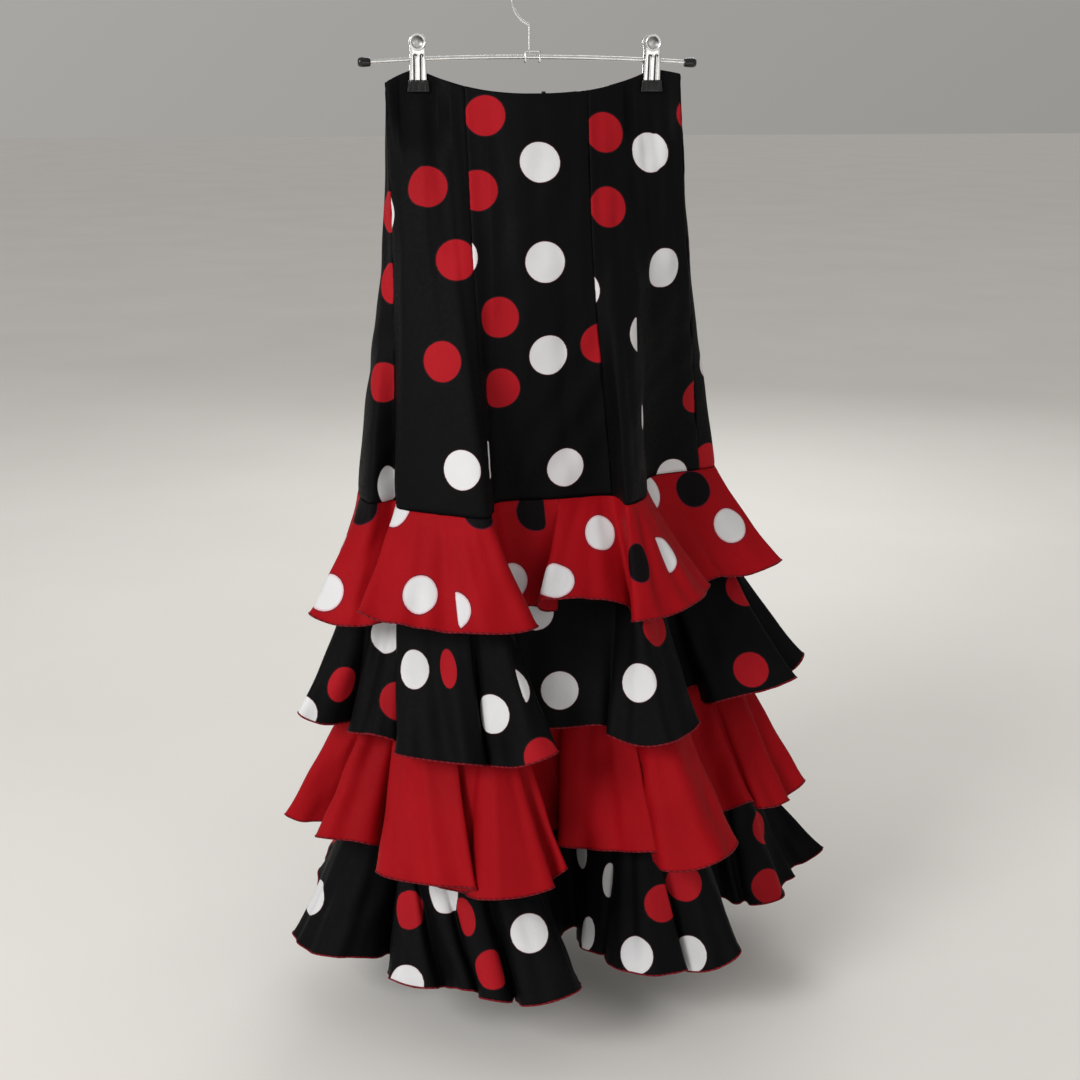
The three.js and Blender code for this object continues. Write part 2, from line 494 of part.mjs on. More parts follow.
function capGeometry() {
  const profile = [
    [0, CAP.boreDepth], [CAP.bore, CAP.boreDepth], [CAP.bore, 0], [CAP.radius - 0.6, 0], [CAP.radius, 0.8],
    [CAP.radius, CAP.length - 2], [CAP.radius - 1.6, CAP.length], [0, CAP.length],
  ].map(([r, y]) => new THREE.Vector2(r, y));
  return new THREE.LatheGeometry(profile, 20);
}

function hookGeometry() {
  const centreZ = HOOK.wire - HOOK.bend;
  const joinAngle = Math.PI + Math.asin(Math.sqrt(HOOK.bend ** 2 - HOOK.neckX ** 2) / HOOK.bend);
  const tip = HOOK.tipAngle * Math.PI / 180;
  const arc = Array.from({ length: 19 }, (_, i) => {
    const angle = lerp(joinAngle, tip, i / 18);
    return [HOOK.bend * Math.cos(angle), 0, centreZ + HOOK.bend * Math.sin(angle)];
  });
  const neckTop = arc[0][2];
  const neck = [HOOK.neckBottom, lerp(HOOK.neckBottom, neckTop, 0.5), neckTop - 3].map((z) => [HOOK.neckX, 0, z]);
  return tubeAlong([...neck, ...arc], HOOK.wire, 8, 34);
}

// A closed loft through outlines of [x, y, z] points, in order. `flat` lays an end
// outline out in two dimensions, where it runs counter-clockwise.
function loft(outlines, flat) {
  const count = outlines[0].length;
  const index = [];
  for (let i = 0; i < outlines.length - 1; i += 1) {
    for (let j = 0; j < count; j += 1) {
      const [a, b] = [i * count + j, i * count + (j + 1) % count];
      index.push(a, b, b + count, a, b + count, a + count);
    }
  }
  const caps = THREE.ShapeUtils.triangulateShape(outlines[0].map(flat), []);
  const last = (outlines.length - 1) * count;
  for (const [a, b, c] of caps) index.push(a, c, b, last + a, last + b, last + c);
  const geometry = new THREE.BufferGeometry();
  geometry.setAttribute('position', new THREE.Float32BufferAttribute(outlines.flat(2), 3));
  geometry.setIndex(index);
  geometry.computeVertexNormals();
  return geometry;
}

// A bent strip over the bar: a plate on top, a leg at each end slotted for the bar.
function saddleGeometry() {
  const reach = BAR.radius + SEAM_GAP;
  const half = SADDLE.depth / 2;
  const middle = HOOK.neckX + SADDLE.offX;
  const top = barZ(middle);
  const slot = Array.from({ length: 9 }, (_, i) => {
    const angle = Math.PI * (1 - i / 8);
    return [reach * Math.cos(angle), top + reach * Math.sin(angle)];
  });
  const leg = [
    [-half, SADDLE.topZ], [-half, SADDLE.bottomZ], [-reach, SADDLE.bottomZ], ...slot,
    [reach, SADDLE.bottomZ], [half, SADDLE.bottomZ], [half, SADDLE.topZ],
  ];
  const plate = leg.map(([y, z]) => [y, Math.max(z, SADDLE.topZ - SADDLE.thick)]);
  const [left, right] = [middle - SADDLE.width / 2, middle + SADDLE.width / 2];
  return loft([
    [left, leg], [left + SADDLE.thick, leg], [left + SADDLE.thick + SADDLE.bend, plate],
    [right - SADDLE.thick - SADDLE.bend, plate], [right - SADDLE.thick, leg], [right, leg],
  ].map(([x, outline]) => outline.map(([y, z]) => [x, y, z])), ([, y, z]) => new THREE.Vector2(y, z));
}

// One leg of a clip: a round head over a tapering leg that leans in to its tip.
function legGeometry() {
  const { discRadius, discZ, neckWidth, tipWidth, plateBottomZ, plate, plateY } = CLIP;
  const neck = Math.acos(neckWidth / 2 / discRadius);
  const head = Array.from({ length: 9 }, (_, i) => {
    const angle = lerp(1.45, -neck, i / 8);
    return [discRadius * Math.cos(angle), discZ + discRadius * Math.sin(angle)];
  });
  const leg = Array.from({ length: 5 }, (_, i) => {
    const t = (i + 1) / 5;
    return [lerp(neckWidth, tipWidth, t) / 2, lerp(head.at(-1)[1], plateBottomZ, t)];
  });
  const tipMiddle = PINCHED + SEAM_GAP + TIP.thick / 2;
  return loft([...head, ...leg].map(([half, z]) => {
    const share = Math.max(0, (discZ - z) / (discZ - plateBottomZ));
    const y = -lerp(plateY, tipMiddle, share ** 1.4);
    const [front, back] = [y - plate / 2, y + plate / 2];
    return [[-half, front, z], [-half, back, z], [half, back, z], [half, front, z]];
  }), ([x, y]) => new THREE.Vector2(-x, y));
}

function tipGeometry() {
  const shape = new THREE.Shape();
  const [w, h, r] = [TIP.width / 2, TIP.height, TIP.corner];
  shape.moveTo(-w, -r);
  shape.lineTo(-w, -h + r);
  shape.quadraticCurveTo(-w, -h, -w + r, -h);
  shape.lineTo(w - r, -h);
  shape.quadraticCurveTo(w, -h, w, -h + r);
  shape.lineTo(w, -r);
  shape.quadraticCurveTo(w, 0, w - r, 0);
  shape.lineTo(-w + r, 0);
  shape.quadraticCurveTo(-w, 0, -w, -r);
  const geometry = new THREE.ExtrudeGeometry(shape, { depth: TIP.thick, bevelEnabled: false, curveSegments: 3 });
  geometry.rotateX(Math.PI / 2);
  geometry.translate(0, -PINCHED - SEAM_GAP, CLIP.plateBottomZ - SEAM_GAP);
  return geometry;
}

function ringGeometry(inner, outer, width, sides) {
  const profile = [[inner, 0], [outer, 0], [outer, width], [inner, width], [inner, 0]]
    .map(([r, y]) => new THREE.Vector2(r, y));
  return new THREE.LatheGeometry(profile, sides);
}

// ---------------------------------------------------------------- assembly
const model = new THREE.Group();
function add(name, geometry, material, parent = model) {
  const mesh = new THREE.Mesh(geometry, material);
  mesh.name = name;
  parent.add(mesh);
  return mesh;
}

for (const { name, geometry } of buildGores()) add(name, geometry, BLACK_CREPE());
add('ruffle_base', clothWall(baseGrid, true), BLACK_CREPE());
for (const { tier, grid } of buildTiers()) {
  add(tier.name, clothWall(grid, true), tier.red ? RED_CREPE() : BLACK_CREPE());
}

const hanger = new THREE.Group();
model.add(hanger);
add('hanger_bar', barGeometry(), STEEL(), hanger);
add('hanger_hook', hookGeometry(), STEEL(), hanger);
add('hanger_saddle', saddleGeometry(), STEEL(), hanger);
for (const [side, x, turn] of [['left', BAR.left, 1], ['right', BAR.right, -1]]) {
  const cap = add(`cap_${side}`, capGeometry(), PVC(), hanger);
  cap.rotation.z = turn * Math.PI / 2;
  cap.position.set(x + turn * (CAP.boreDepth - 0.6), 0, BAR.endZ);
}
for (const [side, x] of Object.entries(CLIP_X)) {
  const clip = new THREE.Group();
  clip.position.x = x;
  hanger.add(clip);
  for (const [face, turn] of [['front', 0], ['back', Math.PI]]) {
    const leg = new THREE.Group();
    leg.rotation.z = turn;
    clip.add(leg);
    add(`clip_${side}_${face}_leg`, legGeometry(), STEEL(), leg);
    add(`clip_${side}_${face}_tip`, tipGeometry(), PVC(), leg);
  }
  const spring = add(`clip_${side}_spring`,
    ringGeometry(CLIP.springInner, CLIP.springOuter, CLIP.springWidth, 16), STEEL(), clip);
  spring.rotation.z = Math.PI / 2;
  spring.position.set(CLIP.springWidth / 2, 0, barZ(x));
}

const backSeam = FOLDS[foldIndex('back centre seam')];
const slider = add('back_zip_slider', new THREE.BoxGeometry(SLIDER.width, SLIDER.thick, SLIDER.height), PVC());
slider.position.set(backSeam.waist, waistHalfGap(backSeam.waist) + SLIDER.thick / 2 + SLIDER.off,
  -waistDown(backSeam.waist) + SLIDER.above - SLIDER.height / 2);

export default model;
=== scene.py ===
"""Looks of the four-tier flamenco skirt on its clip hanger.

Tables and grids are in millimetres in the CAD frame: the origin is the inner
crown of the hook, +X runs along the bar, the skirt's front faces -Y, and down
is measured from the hook. Meshes are made in metres at the end.
"""

import math

import bpy
import numpy as np
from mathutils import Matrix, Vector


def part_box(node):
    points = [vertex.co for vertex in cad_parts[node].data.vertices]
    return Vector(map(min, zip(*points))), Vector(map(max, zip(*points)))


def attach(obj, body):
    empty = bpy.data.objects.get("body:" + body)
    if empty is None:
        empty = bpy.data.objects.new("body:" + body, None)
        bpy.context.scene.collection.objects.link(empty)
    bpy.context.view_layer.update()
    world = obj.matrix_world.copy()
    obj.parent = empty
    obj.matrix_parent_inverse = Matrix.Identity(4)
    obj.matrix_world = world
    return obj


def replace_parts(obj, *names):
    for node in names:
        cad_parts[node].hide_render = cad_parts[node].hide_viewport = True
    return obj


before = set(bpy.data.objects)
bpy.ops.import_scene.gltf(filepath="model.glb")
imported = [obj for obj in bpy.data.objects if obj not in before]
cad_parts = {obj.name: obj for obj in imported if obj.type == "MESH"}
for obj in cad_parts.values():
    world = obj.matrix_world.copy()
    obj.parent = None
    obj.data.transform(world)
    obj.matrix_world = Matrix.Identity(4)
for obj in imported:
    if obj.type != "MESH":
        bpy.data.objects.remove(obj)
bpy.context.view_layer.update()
MM = 0.001

# ---------------------------------------------------------------- view
CAMERA = {"at": (-233.4, -1660.7, -108.4), "pitch": 16.3, "yaw": 8.0, "focal": 1571.0,
          "centre": (541.0, 540.0)}  # millimetres, degrees, and pixels of the photograph
PICTURE = 1080  # side of the photograph in its own pixels
MM_PER_PX = 1.057  # on cloth that faces the camera


def project(points):
    """Picture position and distance of points (..., 3), in pixels and millimetres."""
    p = points - np.array(CAMERA["at"])
    yaw, pitch = math.radians(CAMERA["yaw"]), math.radians(CAMERA["pitch"])
    across = p[..., 0] * math.cos(yaw) - p[..., 1] * math.sin(yaw)
    ahead = p[..., 0] * math.sin(yaw) + p[..., 1] * math.cos(yaw)
    depth = ahead * math.cos(pitch) - p[..., 2] * math.sin(pitch)
    up = p[..., 2] * math.cos(pitch) + ahead * math.sin(pitch)
    scale = CAMERA["focal"] / depth
    return np.stack([CAMERA["centre"][0] + across * scale, CAMERA["centre"][1] - up * scale], -1), depth


# ---------------------------------------------------------------- skirt body
WAIST_AT_CLIPS, WAIST_SAG, SAG_POWER = 97, 24, 2.4
CORNER_DROP = {"left": 13, "right": 5}  # how far the waist drops outside each clip
CORNER_REACH, CORNER_POWER = 32, 1.5  # the drop's length along the bar, and its curve
LEVELS = np.array([97, 288, 538, 883], float)  # waist, hip, first tier seam, last tier seam
FIRST_SEAM, LAST_SEAM = LEVELS[2], LEVELS[3]
CLIP_X = {"left": -125, "right": 116}
CLIP_FLAT, CLIP_FADE, HELD_DOWN, RELEASE = 19, 12, 127, 55
PINCHED = 1.65  # half gap of the outer faces in a clip
MID_OPENING, END_OPENING, OPENING_POWER = 13, 4, 1.5
CLOTH = 0.7  # thickness of the shells made here

# Once round from the left side seam: x on the flat waist, its side (-1 front,
# 1 back), then x, y of the outer face at the hip, the first and the last seam.
FOLDS = [
    (-158, -0.3, (-157, -20), (-161, -33), (-158, -30)),  # 0 left side seam
    (-148, -1, (-149, -44), (-160, -66), (-166, -72)),  # 1 left strip
    (-118, -1, (-116, -60), (-115, -100), (-128, -104)),  # 2 front left
    (-97, -1, (-92, -68), (-73, -121), (-64, -128)),  # 3 front left crest
    (-79, -1, (-77, -66), (-62, -97), (-34, -106)),  # 4 front left seam
    (-60, -1, (-58, -64), (-54, -58), (20, -24)),  # 5 front left valley
    (-14, -1, (-10, -68), (3, -54), (58, -64)),  # 6 front centre
    (48, -1, (47, -60), (72, -47), (88, -90)),  # 7 front right seam
    (62, -1, (66, -58), (80, -88), (112, -108)),  # 8 front right crest
    (84, -1, (94, -46), (106, -60), (146, -84)),  # 9 front right strip
    (102, -1, (112, -28), (122, 14), (176, -6)),  # 10 front right valley
    (126, -1, (138, -18), (140, 38), (204, 14)),  # 11 right panel
    (146, -0.5, (160, -4), (194, 56), (240, 24)),  # 12 right side seam
    (145, 0.6, (163, 14), (216, 74), (250, 56)),  # 13 right edge
    (118, 1, (136, 40), (180, 112), (214, 124)),  # 14 back right side
    (72, 1, (88, 50), (108, 110), (150, 122)),  # 15 back right seam
    (38, 1, (44, 58), (60, 136), (80, 156)),  # 16 back right
    (6, 1, (4, 58), (8, 130), (14, 148)),  # 17 back centre seam
    (-38, 1, (-42, 54), (-46, 112), (-55, 128)),  # 18 back left
    (-78, 1, (-88, 50), (-100, 124), (-110, 150)),  # 19 back left seam
    (-122, 1, (-140, 40), (-162, 88), (-178, 108)),  # 20 back left side
    (-156, 1, (-166, 20), (-198, 22), (-212, 40)),  # 21 left edge
    (-158, 0.3, (-164, -4), (-187, -46), (-206, -30)),  # 22 left crest
]
AROUND = len(FOLDS)


def waist_half_gap(x):
    to_left, to_right = x - CLIP_X["left"], CLIP_X["right"] - x
    if to_left > CLIP_FLAT and to_right > CLIP_FLAT:
        share = (to_left - CLIP_FLAT) / (to_left + to_right - 2 * CLIP_FLAT)
        return PINCHED + MID_OPENING * math.sin(math.pi * share) ** OPENING_POWER
    outside = max(-to_left, -to_right) - CLIP_FLAT
    return PINCHED + (END_OPENING * min(1, outside / CLIP_FADE) if outside > 0 else 0)


def waist_down(x):
    middle = (CLIP_X["left"] + CLIP_X["right"]) / 2
    half = (CLIP_X["right"] - CLIP_X["left"]) / 2
    share = np.abs(x - middle) / half
    inside = WAIST_SAG * (1 - np.minimum(share, 1) ** SAG_POWER)
    drop = np.where(np.asarray(x) < middle, CORNER_DROP["left"], CORNER_DROP["right"])
    outside = np.clip((share - 1) * half / CORNER_REACH, 0, 1) ** CORNER_POWER
    return WAIST_AT_CLIPS + inside + drop * outside


FOLD_XY = np.array([[(w, side * waist_half_gap(w)), hip, seam, foot]
                    for w, side, hip, seam, foot in FOLDS], float)


def along_levels(values, down):
    """Smooth value through the four levels; values is (n, 4, 2), down (n,)."""
    i = np.clip(np.searchsorted(LEVELS, down, side="left") - 1, 0, 2)
    n = np.arange(len(down))

    def slope(k):
        a, b = np.maximum(k - 1, 0), np.minimum(k + 1, 3)
        return (values[n, b] - values[n, a]) / (LEVELS[b] - LEVELS[a])[:, None]

    span = (LEVELS[i + 1] - LEVELS[i])[:, None]
    t = (down - LEVELS[i])[:, None] / span
    t2, t3 = t * t, t * t * t
    inner = ((2 * t3 - 3 * t2 + 1) * values[n, i] + (t3 - 2 * t2 + t) * span * slope(i)
             + (3 * t2 - 2 * t3) * values[n, i + 1] + (t3 - t2) * span * slope(i + 1))
    return np.where(t > 1, values[n, i + 1] + (t - 1) * span * slope(i + 1), inner)


def catmull(p0, p1, p2, p3, t):
    """Centripetal Catmull-Rom between p1 and p2."""
    d0, d1, d2 = (np.sqrt(np.maximum(np.linalg.norm(b - a, axis=-1, keepdims=True), 1e-6))
                  for a, b in ((p0, p1), (p1, p2), (p2, p3)))
    m1 = d1 * ((p1 - p0) / d0 - (p2 - p0) / (d0 + d1) + (p2 - p1) / d1)
    m2 = d1 * ((p2 - p1) / d1 - (p3 - p1) / (d1 + d2) + (p3 - p2) / d2)
    t = t[:, None]
    return p1 + t * (m1 + t * (3 * (p2 - p1) - 2 * m1 - m2 + t * (2 * (p1 - p2) + m1 + m2)))


def closed_curve(points, places):
    p, k = np.asarray(points, float), np.floor(places).astype(int)
    return catmull(*(p[(k + s) % len(p)] for s in (-1, 0, 1, 2)), places - k)


def body_at(place, down):
    """Outer face of the body, at places counted in folds and depths down, both (n,)."""
    k = np.floor(place).astype(int)
    xy = catmull(*(along_levels(FOLD_XY[(k + s) % AROUND], down) for s in (-1, 0, 1, 2)), place - k)
    away = np.abs(xy[:, :1] - np.array([CLIP_X["left"], CLIP_X["right"]])).min(1) - CLIP_FLAT
    below = 1 - np.clip((down - HELD_DOWN) / RELEASE, 0, 1)
    hold = (1 - np.clip(away / CLIP_FADE, 0, 1)) * below * below * (3 - 2 * below)
    xy[:, 1] += (np.sign(xy[:, 1]) * PINCHED - xy[:, 1]) * hold
    return np.column_stack([xy, -down])


def body_grid(places, rows):
    """Grid (columns, rows, 3) of the body's outer face; rows are shares or depths."""
    at_waist = body_at(places, np.full(len(places), float(WAIST_AT_CLIPS)))[:, 0]
    downs = rows(at_waist)
    flat = body_at(np.repeat(places, downs.shape[1]), downs.ravel())
    return flat.reshape(len(places), downs.shape[1], 3)


# ---------------------------------------------------------------- grids
def bell(x, half):
    """A smooth bump: 1 at 0 and almost gone two half widths away."""
    return np.exp(-((x / half) ** 2))


def steps(points, closed):
    """From each point's neighbour before it to the one after, along the first axis."""
    return (np.roll(points, -1, 0) - np.roll(points, 1, 0)) if closed else np.gradient(points, axis=0)


def normals(grid, closed):
    """Unit normals of a grid of points, out of the skirt."""
    n = np.cross(np.gradient(grid, axis=1), steps(grid, closed))
    return n / np.maximum(np.linalg.norm(n, axis=2, keepdims=True), 1e-9)


def lengths(grid, closed):
    """Length along each row from column 0 and down each column from row 0. A closed
    grid's rows have one column more, where the row comes round again."""
    loop = np.concatenate([grid, grid[:1]]) if closed else grid
    across = np.linalg.norm(np.diff(loop, axis=0), axis=2)
    down = np.linalg.norm(np.diff(grid, axis=1), axis=2)
    return (np.concatenate([np.zeros((1, grid.shape[1])), across.cumsum(0)]),
            np.concatenate([np.zeros((grid.shape[0], 1)), down.cumsum(1)], axis=1))


MEAN_WAVE, WAVE_PEAK, WHOLE_TURN = 0.75, 1.4, 6.3


def waves(length, round_, seed, period, spread=0.5, count=5):
    """Uneven waves of about `period` that close on themselves over `round_`, about -1 to 1."""
    rng = np.random.default_rng(seed)
    total = np.zeros_like(length, float)
    for _ in range(count):
        turns = max(1, round(round_ / period * rng.uniform(1 - spread, 1 + spread)))
        height = rng.uniform(0.5, 1)
        total += height * np.sin(2 * math.pi * turns * length / round_ + rng.uniform(0, WHOLE_TURN))
    return total / (MEAN_WAVE * math.sqrt(count) * WAVE_PEAK)


# ---------------------------------------------------------------- gores
GORE_ROWS, GORE_ROW_POWER = 96, 0.96
GORE_COLUMNS_PER_FOLD = 18
EDGE_COLUMNS = (0.05, 0.12)  # extra columns beside a seam, in folds
EDGE_ROWS = (0.004, 0.009, 0.016)  # extra rows under the waist's edge, as shares of the depth
SEAM_DIP, SEAM_WIDTH = 0.8, 1.6  # how far a gore's seam pulls in, and over what half width
PUCKER, PUCKER_PERIOD, PUCKER_WIDTH = 0.35, 15, 7
TURNED_EDGE, TURNED_WIDTH = 0.3, 3.5  # the waist's turned edge stands out a little
TIER_SEAM_DIP, TIER_SEAM_WIDTH = 0.7, 2.0
SAG_HEIGHT, SAG_PERIOD, SAG_SLANT, SAG_FADE = 0.8, 60, 37, 80  # slow waves in hanging cloth
# name, first and last fold, and the flat cut: widest, longest, area in m2
GORES = [
    ("gore_front_side_left", 0, 4, (0.13, 0.45), 0.047),
    ("gore_front_centre", 4, 7, (0.18, 0.44), 0.056),
    ("gore_front_side_right", 7, 12, (0.24, 0.45), 0.070),
    ("gore_back_side_right", 12, 15, (0.18, 0.45), 0.056),
    ("gore_back_right", 15, 17, (0.11, 0.44), 0.038),
    ("gore_back_left", 17, 19, (0.12, 0.44), 0.042),
    ("gore_back_side_left", 19, 23, (0.21, 0.45), 0.066),
]
# Soft troughs (depth > 0) and ridges (depth < 0) in the hanging cloth: the place in folds
# and the height down where each starts, the same where it ends, its half width and depth.
CREASES = [
    (0.6, 150, 0.9, 470, 9, 1.8), (1.35, 118, 1.25, 330, 7, 1.6), (1.8, 112, 1.9, 400, 6, -1.5),
    (2.25, 118, 2.6, 300, 7, 1.5), (3.1, 190, 3.35, 500, 6, 1.6), (3.7, 120, 3.8, 260, 5, 0.9),
    (4.5, 135, 4.7, 420, 7, 1.3), (5.15, 128, 5.35, 360, 10, 1.8), (5.6, 240, 5.7, 530, 9, -2.0),
    (6.1, 125, 6.0, 290, 9, 1.4), (6.35, 260, 6.4, 535, 8, 1.9), (6.8, 122, 6.75, 400, 7, -1.3),
    (7.5, 118, 7.55, 340, 6, 1.1), (8.35, 160, 8.5, 510, 6, 1.5), (9.2, 110, 9.3, 300, 7, 1.6),
    (9.8, 112, 9.75, 420, 6, -1.4), (10.6, 108, 10.5, 280, 6, 1.5), (11.25, 116, 11.5, 460, 8, 1.9),
    (11.8, 108, 12.5, 350, 7, 1.4), (13.4, 130, 13.3, 500, 9, 1.8), (14.15, 112, 14.1, 320, 8, 1.7),
    (14.6, 200, 14.65, 530, 9, -1.9), (15.4, 118, 15.45, 380, 8, 1.4), (16.3, 128, 16.25, 290, 9, 1.3),
    (16.7, 220, 16.6, 530, 8, 1.8), (17.5, 126, 17.55, 450, 8, 1.5), (18.35, 124, 18.4, 330, 9, -1.6),
    (18.8, 118, 18.7, 500, 7, 1.4), (19.6, 112, 19.7, 360, 8, 1.8), (20.3, 150, 20.25, 520, 10, 2.0),
    (20.9, 108, 21.2, 340, 7, 1.5), (22.1, 140, 22.2, 480, 8, 1.6),
]
CLOTH_PER_FOLD = (8, 90)  # least and most cloth to one fold
CREASE_BEND = 0.12  # a crease wanders to both sides, in folds


def creased(grid, places):
    """Depth of the listed creases at each point of a grid of the body."""
    down = -grid[..., 2]
    step = np.linalg.norm(np.gradient(grid, axis=0), axis=2)
    fold = np.gradient(places)[:, None]
    speed = np.clip(step / np.maximum(fold, 1e-6), *CLOTH_PER_FOLD)
    depth = np.zeros(grid.shape[:2])
    for u0, d0, u1, d1, width, height in CREASES:
        t = np.clip((down - d0) / (d1 - d0), -0.2, 1.2)
        bend = CREASE_BEND * np.sin(2.2 * math.pi * t + u0)
        away = (places[:, None] - (u0 + (u1 - u0) * t + bend * 0.5)) * speed
        fade = np.sin(math.pi * np.clip((t + 0.06) / 1.12, 0, 1)) ** 0.7
        depth -= height * fade * bell(away, width)
    return depth


def gore_grid(first, last):
    """Outer face of a gore between two folds, with its creases, seams and turned edge."""
    count = (last - first) * GORE_COLUMNS_PER_FOLD
    even = np.linspace(first, last, count + 1)
    extra = [first + e for e in EDGE_COLUMNS] + [last - e for e in EDGE_COLUMNS]
    places = np.unique(np.round(np.concatenate([even, extra]), 5))
    share = np.linspace(0, 1, GORE_ROWS) ** GORE_ROW_POWER
    share = np.unique(np.concatenate([share, EDGE_ROWS]))

    def rows(x):
        top = waist_down(x)[:, None]
        return top + (FIRST_SEAM - top) * share

    grid = body_grid(places, rows)
    across, _ = lengths(grid, False)
    from_edge = np.minimum(across, across[-1] - across)
    down = -grid[..., 2] - waist_down(grid[:, :1, 0])
    lift = creased(grid, places)
    lift -= SEAM_DIP * bell(from_edge, SEAM_WIDTH)
    lift += PUCKER * waves(down, 440, first * 7 + 3, PUCKER_PERIOD) * bell(from_edge, PUCKER_WIDTH)
    lift += TURNED_EDGE * np.clip(1 - np.abs(down - TURNED_WIDTH) / TURNED_WIDTH, 0, 1)
    lift -= TIER_SEAM_DIP * bell(FIRST_SEAM + grid[..., 2], TIER_SEAM_WIDTH)
    slow = waves(across + SAG_SLANT * down / SAG_PERIOD, 420, first + 11, SAG_PERIOD)
    lift += SAG_HEIGHT * slow * np.clip(down / SAG_FADE, 0, 1)
    return grid + normals(grid, False) * lift[..., None]


# ---------------------------------------------------------------- tiers
TIER_ROWS = 30
TIER_EDGE_ROWS = (0.012, 0.988)  # extra rows at the seam and the hem, as shares
HEM_STEP = 4.0  # spacing of a tier's columns along its hem
FLARE_EASE = 0.18  # how much of the flare comes late
EDGE_REACH = 4  # how far above a layer's top edge it still pushes
CUT_SMOOTH = 0.35  # folds over which place and cut depth are evened out
FARTHEST = 0.93  # reach of a hem as a share of its cut depth
BASE_INSET = 2.3
BASE_GAP, TIER_GAP = 2.2, 2.1
LEVEL_STEP = 3.0  # spacing of the heights at which layers are compared
# Height, period, spread and number of the waves in a tier's cloth.
GATHERS, FLUTES = (0.9, 17, 0.35, 7), (2.6, 46, 0.5, 5)
RIPPLES, SWAY = (1.7, 21, 0.4, 6), (0.9, 70, 0.5, 5)
GATHER_LENGTH, GATHER_UNEVEN, GATHER_PERIOD = 16, 10, 90  # how far down the gathers run
GATHER_START = 2.5  # cloth that stays flat in the seam
FLUTE_POWER, RIPPLE_POWER = 1.4, 2.6  # both grow towards the hem
FLUTE_SWING, SWAY_SLANT = 6, 0.8
HEM_CURL = 1.1  # how far the last twelfth of the depth turns out
